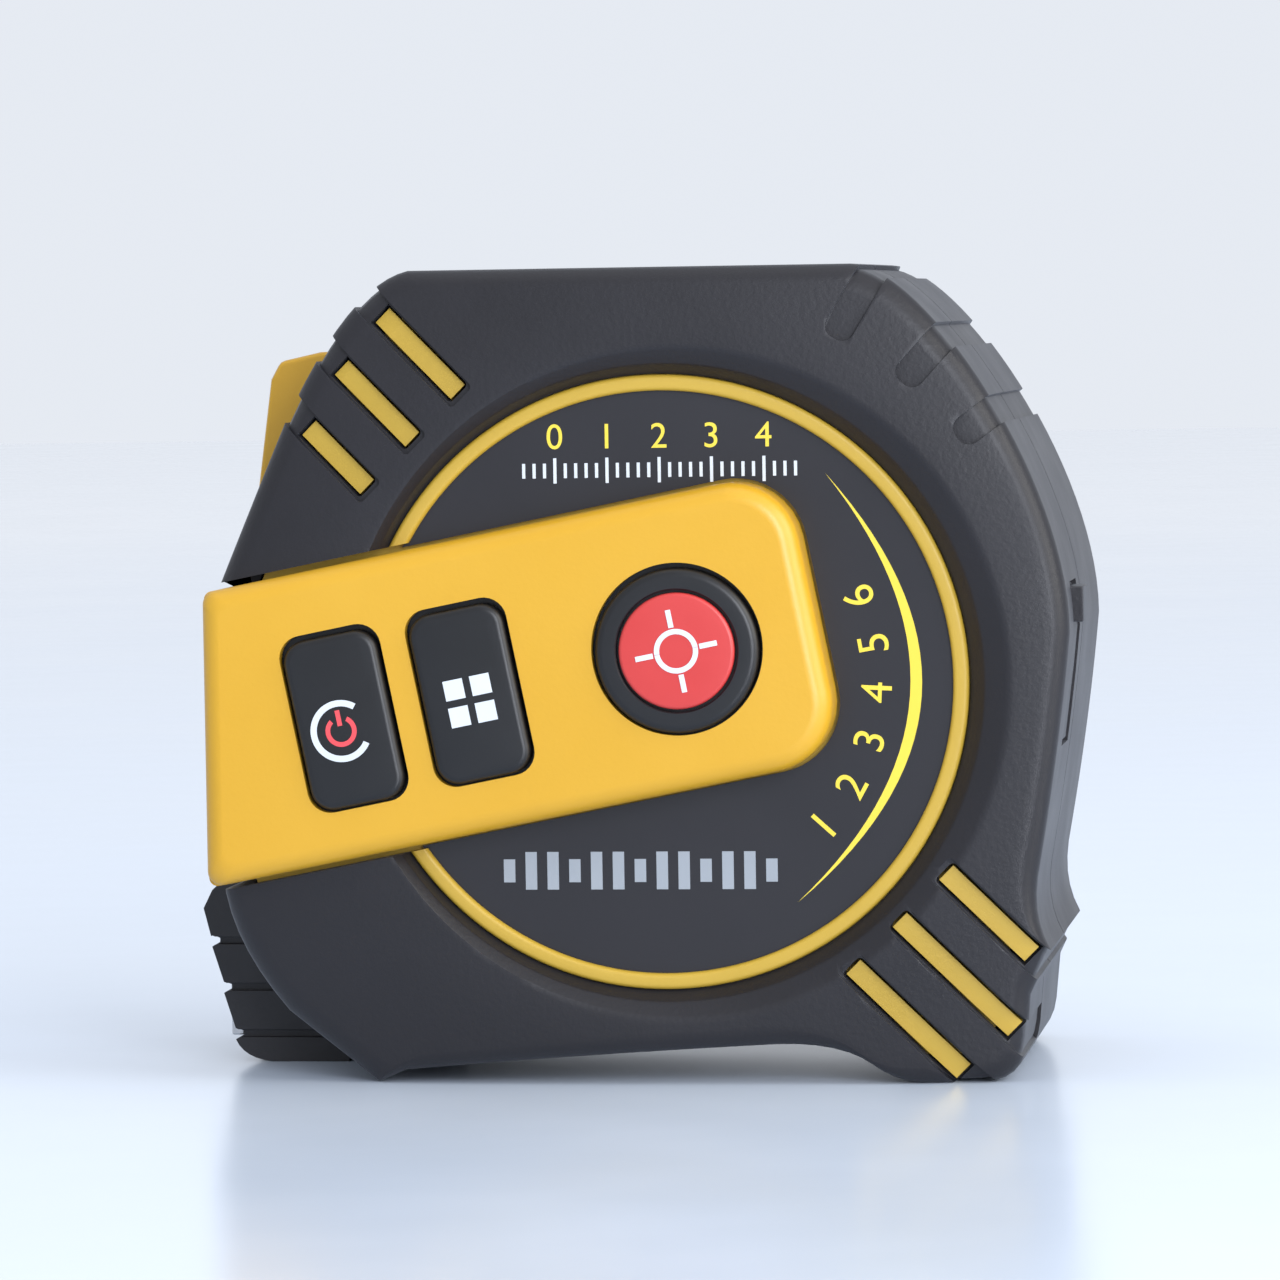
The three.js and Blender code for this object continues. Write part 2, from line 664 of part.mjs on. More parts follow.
// ---------------------------------------------------------------- control cover and buttons
function controlCover() {
  const frontBack = frontX + gripWall;
  const outer = slab(coverOutline(), coverY, coverBackY, 0.8);
  const pocketCut = slab(coverOutline(-coverWall, frontX + 2.6), coverInnerY, coverBackY + 1);
  const front = slab(coverOutline(), coverBackY - 1, controlRimY - 1.2)
    .intersect(block(frontX - 3, frontBack, coverBackY - 1, controlRimY, -1, caseHeight));
  const keyHole = roundedRect(buttonWidth + 2 * moveGap, buttonHeight + 2 * moveGap, buttonRadius);
  const holes = join(
    ...[powerButtonAt, functionAlong].map((along) => slab(
      atPlace(keyHole, onCover(along)),
      coverY - 1, coverInnerY + 1,
    )),
    rodY(...onCover(measureAlong), measureRadius + moveGap, coverY - 1, coverInnerY + 1, 32),
  );
  return outer
    .subtract(pocketCut)
    .add(front)
    .subtract(holes)
    .subtract(opticsHole(-0.6, frontX - 4, frontBack + 1))
    .subtract(opticsHole(touchGap, frontX - 4, frontX - coverFrontProud + windowThickness + touchGap));
}

function keyButton(place) {
  const cap = slab(atPlace(roundedRect(buttonWidth, buttonHeight, buttonRadius), place),
    buttonY, flangeY + flangeThickness / 2, 0.35);
  const flange = slab(atPlace(
    roundedRect(buttonWidth + 2 * flangeOver, buttonHeight + 2 * flangeOver, buttonRadius), place,
  ), flangeY, flangeY + flangeThickness);
  return cap.add(flange);
}

function measureButton() {
  const [x, z] = measureAt;
  const recess = buttonY + 0.9;
  const rim = flangeY + flangeThickness;
  return turned(x, z, [
    [0, recess], [capRadius + touchGap, recess], [capRadius + touchGap, buttonY],
    [measureRadius - 0.5, buttonY], [measureRadius, buttonY + 0.5], [measureRadius, flangeY],
    [measureRadius + flangeOver, flangeY], [measureRadius + flangeOver, rim], [0, rim],
  ]);
}

function measureCap() {
  const [x, z] = measureAt;
  const back = buttonY + 0.9 - touchGap;
  return turned(x, z, [[0, buttonY - capProud], [capRadius - 0.4, buttonY - capProud],
    [capRadius, buttonY + 0.1], [capRadius, back], [0, back]]);
}

// ---------------------------------------------------------------- tape works
function spool() {
  const y0 = frameFarY + 0.4;
  const y1 = tapeInnerY - 0.4;
  return turned(spoolX, spoolZ, [
    [postRadius + moveGap, y0], [postRadius + moveGap, y0 + 1.2], [hubRadius - hubWall, y0 + 1.2],
    [hubRadius - hubWall, y1], [hubRadius, y1], [hubRadius, y0], [postRadius + moveGap, y0],
  ].reverse());
}

function ringAbout(x, z, inner, outer, y0, y1, sides) {
  return turned(x, z, [[inner, y0], [inner, y1], [outer, y1], [outer, y0], [inner, y0]].reverse(), sides);
}

function blade() {
  const half = tapeWidth / 2;
  const radius = (half * half + tapeCrown * tapeCrown) / (2 * tapeCrown);
  const spread = Math.asin(half / radius);
  const s = new THREE.Shape();
  const centreZ = bladeZ + radius;
  s.absarc(bladeY, centreZ, radius, -Math.PI / 2 - spread, -Math.PI / 2 + spread, false);
  s.absarc(bladeY, centreZ, radius - tapeThickness, -Math.PI / 2 + spread, -Math.PI / 2 - spread, true);
  s.closePath();
  return beam(s, hookX + hookThickness + hookFloat, spoolX + bladeInside);
}

const bladeInside = 8;          // the straight blade reaches this far past the spool's axis
const rivetPlaces = [hookX + 4.2, hookX + 7.8];
const rivetRadius = 0.8;

function verticalRod(x, y, radius, z0, z1, sides = 12) {
  const geometry = new THREE.CylinderGeometry(radius, radius, z1 - z0, sides);
  geometry.rotateX(Math.PI / 2);
  geometry.translate(x, y, (z0 + z1) / 2);
  return solid(geometry);
}

function tapeBlade() {
  const holes = join(...rivetPlaces.map((x) =>
    verticalRod(x, bladeY, rivetRadius + touchGap, bladeZ - 2, bladeZ + 2)));
  return blade().subtract(holes);
}

const tongueTop = bladeZ - touchGap;
const tongueThickness = 0.9;

function endHook() {
  const plate = block(hookX, hookX + hookThickness, bladeY - tapeWidth / 2, bladeY + tapeWidth / 2,
    bladeZ - 8, bladeZ + tapeCrown);
  const tongue = block(hookX + 0.2, hookX + 11, bladeY - 3.6, bladeY + 3.6,
    tongueTop - tongueThickness, tongueTop);
  const slotsCut = join(...rivetPlaces.map((x) => block(
    x - rivetRadius - touchGap - hookFloat / 2, x + rivetRadius + touchGap + hookFloat / 2,
    bladeY - rivetRadius - touchGap, bladeY + rivetRadius + touchGap, bladeZ - 4, bladeZ + 1,
  )));
  return plate.add(tongue).subtract(slotsCut);
}

function hookRivet(x) {
  const headTop = bladeZ + tapeThickness + touchGap;
  const headLow = tongueTop - tongueThickness - touchGap;
  const rise = tapeThickness + 0.1;
  return join(
    verticalRod(x, bladeY, rivetRadius, headLow - 0.3, headTop + rise),
    verticalRod(x, bladeY, rivetRadius + 0.9, headTop + rise - 0.2, headTop + rise + 0.3),
    verticalRod(x, bladeY, rivetRadius + 0.9, headLow - 0.5, headLow),
  );
}

// ---------------------------------------------------------------- belt clip
const clipScrewAt = [spoolX, spoolZ];
const leafBelow = 6;            // the screwed leaf reaches this far under its screw
const clipTop = dialZ + dialRadius - 7.3;
const clipLow = dialZ - 26;

function beltClip() {
  const leafY = tapeFaceY + touchGap;
  const outY = farY + clipProud;
  const t = clipThickness;
  const s = new THREE.Shape();
  s.moveTo(leafY, spoolZ - leafBelow);
  s.lineTo(leafY + t, spoolZ - leafBelow);
  s.lineTo(leafY + t, clipTop - t - 0.8);
  s.lineTo(leafY + t + 0.8, clipTop - t);
  s.lineTo(outY - t - 1.6, clipTop - t);
  s.lineTo(outY - t - 0.4, clipTop - t - 1.4);
  s.lineTo(outY - t - 0.4, clipLow + 9);
  s.lineTo(outY - t - 1.4, clipLow + 4);
  s.lineTo(outY - t, clipLow);
  s.lineTo(outY, clipLow + 0.2);
  s.lineTo(outY - 0.3, clipLow + 4);
  s.lineTo(outY, clipLow + 9);
  s.lineTo(outY, clipTop - 2.2);
  s.lineTo(outY - 1.8, clipTop);
  s.lineTo(leafY + 0.8, clipTop);
  s.lineTo(leafY, clipTop - 0.8);
  s.closePath();
  return beam(s, spoolX - clipWidth / 2, spoolX + clipWidth / 2)
    .subtract(rodY(...clipScrewAt, screwShank + touchGap, leafY - 1, leafY + t + 0.4, 12))
    .subtract(rodY(...clipScrewAt, 3.2, outY - 3, outY + 1, 20));
}

function screw(place, headY, tipY, sign) {
  const [x, z] = place;
  const profile = [
    [0, headY], [screwHead, headY], [screwHead, headY - sign * 1.1],
    [screwShank, headY - sign * 1.1], [screwShank, tipY], [0, tipY],
  ];
  return turned(x, z, sign > 0 ? profile.reverse() : profile, 14);
}

// ---------------------------------------------------------------- electronics
const mainBoardY = controlInnerY + 0.9;

function mainBoard() {
  return pocket(cavityInset + 0.8, mainBoardY, mainBoardY + boardThickness)
    .intersect(block(frontX + 29, rearX, mainBoardY - 1, mainBoardY + 3, 18, caseHeight - 13))
    .subtract(screwRods(bossRadius + touchGap, mainBoardY - 1, mainBoardY + 3));
}

const batteryY = mainBoardY + boardThickness + touchGap + 1.0;

// One block carries both optical barrels, bored for them from the front.
function laserModule() {
  const back = moduleFront + 18;
  return block(moduleFront, back, opticsY0 + 0.2, opticsY1 - 0.2,
    opticsZ - moduleHeight / 2, opticsZ + moduleHeight / 2)
    .subtract(rodX(opticsMid, emitterZ, 2.9, moduleFront - 1, moduleFront + 16.4, 20))
    .subtract(rodX(opticsMid, receiverZ, 4.7, moduleFront - 1, moduleFront + 2.2, 24))
    .subtract(rodX(opticsMid, receiverZ, 3.4, moduleFront, moduleFront + 14, 24));
}

const flexAt = [measureAt[0] - 12, measureAt[1] - 6];
function flexStrip(grow, y0, y1) {
  return block(flexAt[0] - 4 - grow, flexAt[0] + 4 + grow, y0, y1,
    flexAt[1] - 0.2 - grow, flexAt[1] + 0.2 + grow);
}

function portCover() {
  const plate = slab(caseOutline(0.2), controlFaceY, partingY)
    .intersect(portHole(0, rearX - gripWall + 0.1, rearX + 1));
  const plug = block(rearX - 5.2, rearX - gripWall + 0.6, portY - 1.2, portY + 1.2, portZ - 3.4, portZ + 3.6);
  const tab = block(rearX - 1.6, rearX + tabProud, portY - 2.6, portY + 2.6,
    portZ + portLength / 2 - 3.6, portZ + portLength / 2 - 0.2);
  return join(plate, plug, tab);
}

// ---------------------------------------------------------------- build the assembly
piece('control_shell', controlShell(), yellow);
piece('tape_shell', tapeShell(), yellow);
piece('mid_frame', midFrame(), black);
piece('control_grip', controlGrip(), rubber);
piece('tape_grip', tapeGrip(), rubber);
piece('nose_guard', noseGuard(), black);
piece('control_cover', controlCover(), yellow);

const label = rodY(dialX, dialZ, labelRadius, controlFaceY - touchGap - 0.5, controlFaceY - touchGap, 40)
  .subtract(slab(coverOutline(touchGap, frontX - 6), nearY, controlFaceY));
piece('dial_label', label, labelBlack);
const rearLabel = rodY(dialX, dialZ, labelRadius, tapeFaceY + touchGap, tapeFaceY + touchGap + 0.5, 40)
  .subtract(block(spoolX - clipWidth / 2 - 0.5, spoolX + clipWidth / 2 + 0.5, tapeFaceY, farY,
    spoolZ - leafBelow - 0.5, caseHeight));
piece('tape_side_label', rearLabel, labelBlack);

piece('front_window', opticsHole(0, frontX - coverFrontProud + 0.3,
  frontX - coverFrontProud + 0.3 + windowThickness - 0.3), glass);
piece('display_window', displayHole(0, caseHeight - gripWall + 0.1, caseHeight - 0.3), glass);
const lcdTop = caseHeight - cavityInset - 0.4;
piece('lcd_module', displayHole(0.4, lcdTop - 2.8, lcdTop), cellSilver);

piece('power_button', keyButton(powerAt), black);
piece('function_button', keyButton(functionAt), black);
piece('measure_button', measureButton(), black);
piece('measure_cap', measureCap(), red);
for (const [name, place] of [['power', powerAt], ['function', functionAt], ['measure', measureAt]]) {
  const [x, z] = place;
  const body = block(x - 2.6, x + 2.6, switchY + 0.4, switchY + switchHeight, z - 2.6, z + 2.6)
    .add(rodY(x, z, 1.2, switchY, switchY + 0.8, 12));
  piece(name + '_switch', body, black);
}
piece('key_board', slab(coverOutline(-coverWall - 0.6, frontX + 3.6), keyBoardY, coverBackY), boardGreen);
piece('main_board', mainBoard(), boardGreen);

piece('flex_cable', flexStrip(0, coverBackY + touchGap, mainBoardY - touchGap), brass);
piece('battery', block(frontX + 33, rearX - 18, batteryY, batteryY + 6, 19, 47), cellSilver);
const usbSocket = block(rearX - 14, rearX - 6.6, portY - 1.7, portY + 1.7, portZ - 4.5, portZ + 4.5);
piece('usb_socket', usbSocket, darkSteel);
piece('port_cover', portCover(), rubber);
const buzzerRadius = 4.5;
const buzzerDegrees = 30;
const buzzerFar = reach(cavityInset, buzzerDegrees) - buzzerRadius - 1.5;
const buzzerX = dialX + buzzerFar * Math.cos(buzzerDegrees * Math.PI / 180);
const buzzerZ = dialZ + buzzerFar * Math.sin(buzzerDegrees * Math.PI / 180);
piece('buzzer', rodY(buzzerX, buzzerZ, buzzerRadius, batteryY, batteryY + 3.5, 20), black);

const lensFront = frontX + cavityInset - 0.5;
const opticsMid = (opticsY0 + opticsY1) / 2;
const receiverZ = opticsZ + 3.2;
const emitterZ = opticsZ - 5.0;
const moduleFront = frontX + cavityInset + 0.6;
piece('laser_module', laserModule(), black);
piece('laser_barrel', rodX(opticsMid, emitterZ, 2.6, moduleFront + 2.2, moduleFront + 16, 20), brass);
piece('emitter_lens', rodX(opticsMid, emitterZ, 2.4, lensFront, moduleFront + 1.9, 20), glass);
piece('receiver_lens', rodX(opticsMid, receiverZ, 4.4, lensFront, moduleFront + 1.9, 24), glass);

piece('spool', spool(), black);
piece('power_spring', ringAbout(spoolX, spoolZ, postRadius + 1.2, hubRadius - hubWall - 1,
  frameFarY + 2.4, tapeInnerY - 2, 28), darkSteel);
piece('tape_coil', ringAbout(spoolX, spoolZ, hubRadius + touchGap, coilRadius,
  bladeY - tapeWidth / 2, bladeY + tapeWidth / 2, 40), tapeYellow);
piece('tape_blade', tapeBlade(), tapeYellow);
piece('end_hook', endHook(), steel);
rivetPlaces.forEach((x, i) => piece(`hook_rivet_${i + 1}`, hookRivet(x), steel));

piece('lock_slider', lockSlider(), yellow);
piece('lock_arm', lockArm(), black);
piece('belt_clip', beltClip(), steel);
const clipScrewHeadY = tapeFaceY + 2 * touchGap + clipThickness + 1.1;
piece('clip_screw', screw(clipScrewAt, clipScrewHeadY, tapeInnerY - 7, 1), steel);
screwPlaces.forEach((place, i) =>
  piece(`case_screw_${i + 1}`, screw(place, tapeFaceY - 0.1, controlRimY - 8, 1), steel));

export default model;
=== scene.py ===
# %% [markdown]
# # A laser distance meter with a steel tape
#
# The meter is two moulded half shells, each with a soft rubber grip moulded over it. One half holds
# the electronics under a yellow control cover, and the other holds the wound blade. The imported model
# gives every place and every motion. This file gives the pieces their true surfaces: rounded rubber,
# soft moulded edges, printed films and plated steel.

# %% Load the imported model
import math

import bmesh
import bpy
from mathutils import Matrix, Vector


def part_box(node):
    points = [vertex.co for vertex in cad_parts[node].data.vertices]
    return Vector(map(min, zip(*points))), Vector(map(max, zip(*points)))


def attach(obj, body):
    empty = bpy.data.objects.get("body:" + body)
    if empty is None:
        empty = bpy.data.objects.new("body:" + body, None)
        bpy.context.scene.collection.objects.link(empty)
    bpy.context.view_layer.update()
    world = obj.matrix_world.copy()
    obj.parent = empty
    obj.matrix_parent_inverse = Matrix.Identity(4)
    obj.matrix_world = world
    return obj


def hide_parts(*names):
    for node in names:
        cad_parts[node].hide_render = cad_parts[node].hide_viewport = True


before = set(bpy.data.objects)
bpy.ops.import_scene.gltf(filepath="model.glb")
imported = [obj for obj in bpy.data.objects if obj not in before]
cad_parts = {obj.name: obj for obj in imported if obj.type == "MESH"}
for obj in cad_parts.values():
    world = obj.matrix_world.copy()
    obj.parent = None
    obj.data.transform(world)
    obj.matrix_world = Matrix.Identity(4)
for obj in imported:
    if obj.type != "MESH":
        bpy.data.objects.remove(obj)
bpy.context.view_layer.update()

# %% [markdown]
# ## Camera, light and table
#
# The camera looks slightly down from about the height of the tool's top, with a long lens, so that the
# sides stay upright. A wide soft light from the right leaves the front slope in shade, and pale walls all
# round give the rubber its bluish gloss. The table is a pale lacquered board.

# %% Camera
target = Vector((0.0027, -0.024, 0.0424))
distance = 0.6
azimuth, elevation, tilt = math.radians(8), math.radians(3), math.radians(-0.9)
back = Vector((math.sin(azimuth) * math.cos(elevation), -math.cos(azimuth) * math.cos(elevation),
               math.sin(elevation)))
camera_data = bpy.data.cameras.new("camera")
camera_data.sensor_width = 36
camera_data.lens = 178.6
camera_data.clip_start = 0.01
camera = bpy.data.objects.new("camera", camera_data)
bpy.context.collection.objects.link(camera)
camera.matrix_world = (Matrix.Translation(target + back * distance)
                       @ back.to_track_quat("Z", "Y").to_matrix().to_4x4()
                       @ Matrix.Rotation(tilt, 4, "Z"))
bpy.context.scene.camera = camera
print("camera at", [round(value, 3) for value in camera.matrix_world.translation])


# %% Colours and nodes
def linear(code):
    """Turns an sRGB hex colour into the linear colour that shaders read."""
    parts = [int(code[place:place + 2], 16) / 255 for place in (0, 2, 4)]
    return tuple(c / 12.92 if c < 0.04045 else ((c + 0.055) / 1.055) ** 2.4 for c in parts) + (1.0,)


def add(tree, kind, inputs, **settings):
    """Adds a node with its settings; each input is a value or another node's output."""
    node = tree.nodes.new(kind)
    for name, value in settings.items():
        setattr(node, name, value)
    for socket, value in inputs.items():
        if isinstance(value, bpy.types.NodeSocket):
            tree.links.new(value, node.inputs[socket])
        else:
            node.inputs[socket].default_value = value
    return node


print("mid grey 808080 is", round(linear("808080")[0], 3), "in linear light")

# %% World and lamps
world = bpy.data.worlds.new("pale room")
world.use_nodes = True
world.node_tree.nodes["Background"].inputs["Color"].default_value = linear("ebf0f8")
world.node_tree.nodes["Background"].inputs["Strength"].default_value = 0.95
bpy.context.scene.world = world
# The default view transform greys bright colours, and this one keeps the yellow clean.
bpy.context.scene.view_settings.view_transform = "Standard"


def soft_lamp(name, place, aim, width, height, watts, colour):
    """A rectangular lamp at a place, turned towards another place."""
    data = bpy.data.lights.new(name, "AREA")
    data.shape = "RECTANGLE"
    data.size = width
    data.size_y = height
    data.energy = watts
    data.color = linear(colour)[:3]
    lamp = bpy.data.objects.new(name, data)
    lamp.matrix_world = (Matrix.Translation(place)
                         @ (Vector(place) - Vector(aim)).to_track_quat("Z", "Y").to_matrix().to_4x4())
    bpy.context.collection.objects.link(lamp)


middle = (0.0, 0.0, 0.04)
soft_lamp("window", (0.80, -0.28, 0.38), middle, 0.6, 0.7, 6.0, "fffdf8")
soft_lamp("window beside it", (0.40, -0.80, 0.24), middle, 0.25, 0.6, 7.0, "f2f6ff")
soft_lamp("ceiling", (0.10, -0.15, 0.9), middle, 0.9, 0.9, 1.5, "ffffff")

# %% [markdown]
# ## Materials
#
# Every finish here has the same build: a base colour that drifts a little over some millimetres, as
# moulding and handling leave it, and a fine grain that the mould or the coating gives. One function
# lays both patterns from sizes in millimetres, and each material then states its own numbers.


# %% One recipe for a finish
mm_per_metre = 1000


def finish(name, darker, lighter, patch_mm, roughness, grain_mm, relief_mm, stretch=(1, 1, 1), **sockets):
    """A material with a drifting colour and roughness, and a grain of a real size and depth."""
    material = bpy.data.materials.new(name)
    material.use_nodes = True
    tree = material.node_tree
    shader = tree.nodes["Principled BSDF"]
    place = add(tree, "ShaderNodeTexCoord", {})
    spread = add(tree, "ShaderNodeMapping", {"Vector": place.outputs["Object"], "Scale": stretch})
    patches = add(tree, "ShaderNodeTexNoise",
                  {"Vector": spread.outputs[0], "Scale": mm_per_metre / patch_mm, "Detail": 3.0})
    grain = add(tree, "ShaderNodeTexNoise",
                {"Vector": spread.outputs[0], "Scale": mm_per_metre / grain_mm, "Detail": 2.0})
    colour = add(tree, "ShaderNodeMix", {0: patches.outputs[0], 6: linear(darker), 7: linear(lighter)},
                 data_type="RGBA")
    rough = add(tree, "ShaderNodeMapRange",
                {"Value": patches.outputs[0], "From Min": 0.3, "From Max": 0.7,
                 "To Min": roughness[0], "To Max": roughness[1]})
    bump = add(tree, "ShaderNodeBump",
               {"Height": grain.outputs[0], "Strength": 1.0, "Distance": relief_mm / 1000})
    tree.links.new(colour.outputs[2], shader.inputs["Base Color"])
    tree.links.new(rough.outputs[0], shader.inputs["Roughness"])
    tree.links.new(bump.outputs[0], shader.inputs["Normal"])
    for socket, value in sockets.items():
        shader.inputs[socket.replace("_", " ")].default_value = value
    return material


print("a grain of half a millimetre has a noise scale of", round(mm_per_metre / 0.5))

# %% Plastics and rubbers
# Injection-moulded ABS from a finely spark-eroded mould: a warm yellow with a soft, even gloss.
yellow_abs = finish("moulded yellow ABS", "c4941b", "c99a20", 14, (0.36, 0.44), 0.45, 0.012, IOR=1.54)
# The shells are a greener yellow with a drier surface, and are painted darker than the cover. That darkness
# is painted shade, for the shade that falls on the dial ring in its funnel and on the ribs down in their
# slots.
shaded_shell_abs = finish("olive-yellow ABS with painted shade", "b3922c", "bc9b34", 10, (0.45, 0.55), 0.45, 0.012, IOR=1.54)
# Thermoplastic elastomer moulded over the shells: matt, with a dry bloom that lights at its edges.
grip_rubber = finish("overmoulded TPE rubber", "18171b", "1e1d22", 9, (0.42, 0.5), 0.5, 0.03,
                     IOR=1.5, Specular_IOR_Level=0.38, Sheen_Weight=0.06, Sheen_Roughness=0.4,
                     Sheen_Tint=linear("cfd6e6"))
# Glass-filled nylon: its fibres leave a coarser, drier grain than ABS has.
black_nylon = finish("moulded glass-filled nylon", "151419", "1b1a1f", 6, (0.5, 0.6), 0.7, 0.03, IOR=1.53)
# Moulded ABS keys, polished by the mould and by thumbs.
key_black = finish("moulded black ABS keys", "0c0d10", "101115", 7, (0.34, 0.42), 0.35, 0.006,
                   IOR=1.54, Specular_IOR_Level=0.4)
key_red = finish("moulded red ABS cap", "ba302e", "c03634", 7, (0.36, 0.44), 0.35, 0.006, IOR=1.54)
# Polyester film, printed on its back: flat colour under a slightly pebbled face.
label_film = finish("printed polyester film", "17161b", "1b1a20", 20, (0.34, 0.4), 0.3, 0.004,
                    IOR=1.6, Specular_IOR_Level=0.36)
# Screen-printed ink: opaque and flat, a few micrometres thick.
white_ink = finish("screen-printed white ink", "c4cbd2", "cdd3d9", 5, (0.5, 0.6), 0.4, 0.002, IOR=1.5)
grey_ink = finish("screen-printed grey ink", "8b929a", "959ba2", 5, (0.5, 0.6), 0.4, 0.002, IOR=1.5)
yellow_ink = finish("screen-printed yellow ink", "d8c138", "dfc942", 5, (0.5, 0.6), 0.4, 0.002, IOR=1.5)
red_ink = finish("screen-printed red ink", "d8434a", "dd4a50", 5, (0.5, 0.6), 0.4, 0.002, IOR=1.5)
black_ink = finish("screen-printed black ink", "17171b", "1c1c20", 5, (0.5, 0.6), 0.4, 0.002, IOR=1.5)

print("plastics, rubbers and inks:", len(bpy.data.materials))

# %% Clear parts, boards and metals
# Tinted polycarbonate: a dark clear window with a hard gloss.
window_plastic = finish("tinted polycarbonate window", "8d949c", "949ba3", 12, (0.05, 0.09), 2.0, 0.001,
                        IOR=1.586, Transmission_Weight=0.92)
# Coated optical glass: dark, with a violet cast from its anti-reflection layers.
lens_glass = finish("coated optical glass", "161226", "1d1733", 5, (0.02, 0.04), 3.0, 0.0005, IOR=1.52)
# Reflective liquid-crystal cell: grey-green, under a matt polariser.
lcd_cell = finish("reflective liquid-crystal cell", "8f9a8a", "97a292", 8, (0.3, 0.36), 0.4, 0.002, IOR=1.5)
# Fibreglass board under green solder mask, with the weave just showing.
circuit_board = finish("solder-masked FR4 board", "17452c", "1d5236", 2.5, (0.35, 0.45), 0.6, 0.01, IOR=1.55)
# Copper tracks laminated between polyimide films: a clear amber over brown.
polyimide_film = finish("laminated polyimide film", "8a5a1e", "966528", 4, (0.28, 0.36), 0.4, 0.002, IOR=1.7)
# Turned brass: fine rings round the barrel.
turned_brass = finish("turned brass", "b8954c", "c6a45a", 3, (0.24, 0.34), 0.3, 0.004,
                      stretch=(4, 1, 1), Metallic=1.0)
# Rolled aluminium can of a cell, faintly lined along its length.
rolled_aluminium = finish("rolled aluminium", "b9bcbf", "c6c9cc", 6, (0.3, 0.4), 0.4, 0.004,
                          stretch=(1, 1, 5), Metallic=1.0)
# Nickel-plated pressed steel: bright, with the press's faint lines under the plating.
plated_steel = finish("nickel-plated steel", "b4b5b7", "c2c3c5", 5, (0.2, 0.3), 0.35, 0.003,
                      stretch=(1, 1, 6), Metallic=1.0)
# Blued spring steel, dark from its tempering.
spring_steel = finish("blued spring steel", "4a4d55", "5a5d64", 4, (0.3, 0.4), 0.3, 0.004, Metallic=1.0)
print("materials:", len(bpy.data.materials))

# %% [markdown]
# ## The blade's lacquer
#
# The blade is spring steel with a yellow lacquer and a printed scale. The scale is a pattern rather
# than hundreds of small pieces: along the blade, a thin black line at each millimetre near the two
# edges, and a longer one at each ten.


# %% Lacquer with a printed scale
# A tick's spacing, the part of it that is line, and how far from the blade's middle the line starts.
tick_rows = ((0.001, 0.2, 0.0068), (0.01, 0.03, 0.0035))


def scaled_lacquer(zero_x, middle_y):
    """Yellow lacquer with a tick at each millimetre, counted from the hook."""
    material = finish("lacquered steel blade", "eec62e", "f2cc38", 12, (0.3, 0.38), 0.5, 0.002,
                      IOR=1.5, Coat_Weight=0.3, Coat_Roughness=0.15)
    tree = material.node_tree
    shader = tree.nodes["Principled BSDF"]
    base = shader.inputs["Base Color"].links[0].from_socket
    place = add(tree, "ShaderNodeTexCoord", {})
    axes = add(tree, "ShaderNodeSeparateXYZ", {0: place.outputs["Object"]})
    along = add(tree, "ShaderNodeMath", {0: axes.outputs["X"], 1: zero_x}, operation="SUBTRACT")
    across = add(tree, "ShaderNodeMath", {0: axes.outputs["Y"], 1: middle_y}, operation="SUBTRACT")
    out = add(tree, "ShaderNodeMath", {0: across.outputs[0]}, operation="ABSOLUTE")
    marks = None
    for step, line, reach_from in tick_rows:
        turn = add(tree, "ShaderNodeMath", {0: along.outputs[0], 1: step}, operation="DIVIDE")
        part = add(tree, "ShaderNodeMath", {0: turn.outputs[0]}, operation="FRACT")
        thin = add(tree, "ShaderNodeMath", {0: part.outputs[0], 1: line}, operation="LESS_THAN")
        edge = add(tree, "ShaderNodeMath", {0: out.outputs[0], 1: reach_from}, operation="GREATER_THAN")
        both = add(tree, "ShaderNodeMath", {0: thin.outputs[0], 1: edge.outputs[0]}, operation="MULTIPLY")
        if marks is None:
            marks = both
        else:
            marks = add(tree, "ShaderNodeMath", {0: marks.outputs[0], 1: both.outputs[0]},
                        operation="MAXIMUM")
    colour = add(tree, "ShaderNodeMix", {0: marks.outputs[0], 6: base, 7: linear("1b1b1e")},
                 data_type="RGBA")
    tree.links.new(colour.outputs[2], shader.inputs["Base Color"])
    return material


print("tick spacings in mm:", [round(row[0] * mm_per_metre) for row in tick_rows])

# %% [markdown]
# ## Drawing in millimetres
#
# A maker's drawing is in millimetres, so every shape below is drawn in them, and scaled once when it
# becomes an object. Most of the pieces are skins: a closed loop of edges is extruded again and again,
# and each new loop is put where the surface turns. Ends are capped, or bridged to close a ring.


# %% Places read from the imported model
def box(node):
    """A node's lowest and highest corners, in millimetres."""
    low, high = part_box(node)
    return low * 1000, high * 1000


grip_low, grip_high = box("control_grip")
tape_low, tape_high = box("tape_grip")
label_low, label_high = box("dial_label")
rear_low, rear_high = box("tape_side_label")
cover_low, cover_high = box("control_cover")
front_x, rear_x, top_z = grip_low.x, grip_high.x, grip_high.z
label_radius = (rear_high.x - rear_low.x) / 2
dial_x = (rear_high.x + rear_low.x) / 2
dial_z = rear_low.z + label_radius
near_y, near_back = grip_low.y, grip_high.y
far_y, far_back = tape_high.y, tape_low.y
shell_near = label_high.y + 0.3
shell_far = rear_low.y - 0.3
ring_width = 1.2
dial_radius = label_radius + ring_width
grip_wall = 2.4
clearance = 0.3
print("dial at", round(dial_x, 2), round(dial_z, 2), "radius", round(dial_radius, 2))


# %% Skins, solids and cuts
def draw_out(bm, loop, places):
    """Extrudes a closed loop of vertices, and puts the new ones at the places."""
    edges = [bm.edges.get(pair) for pair in zip(loop, loop[1:] + loop[:1])]
    made = bmesh.ops.extrude_edge_only(bm, edges=edges)["geom"]
    fresh = {tuple(part.co): part for part in made if isinstance(part, bmesh.types.BMVert)}
    grown = [fresh[tuple(vertex.co)] for vertex in loop]
    for vertex, place in zip(grown, places):
        vertex.co = place
    return grown


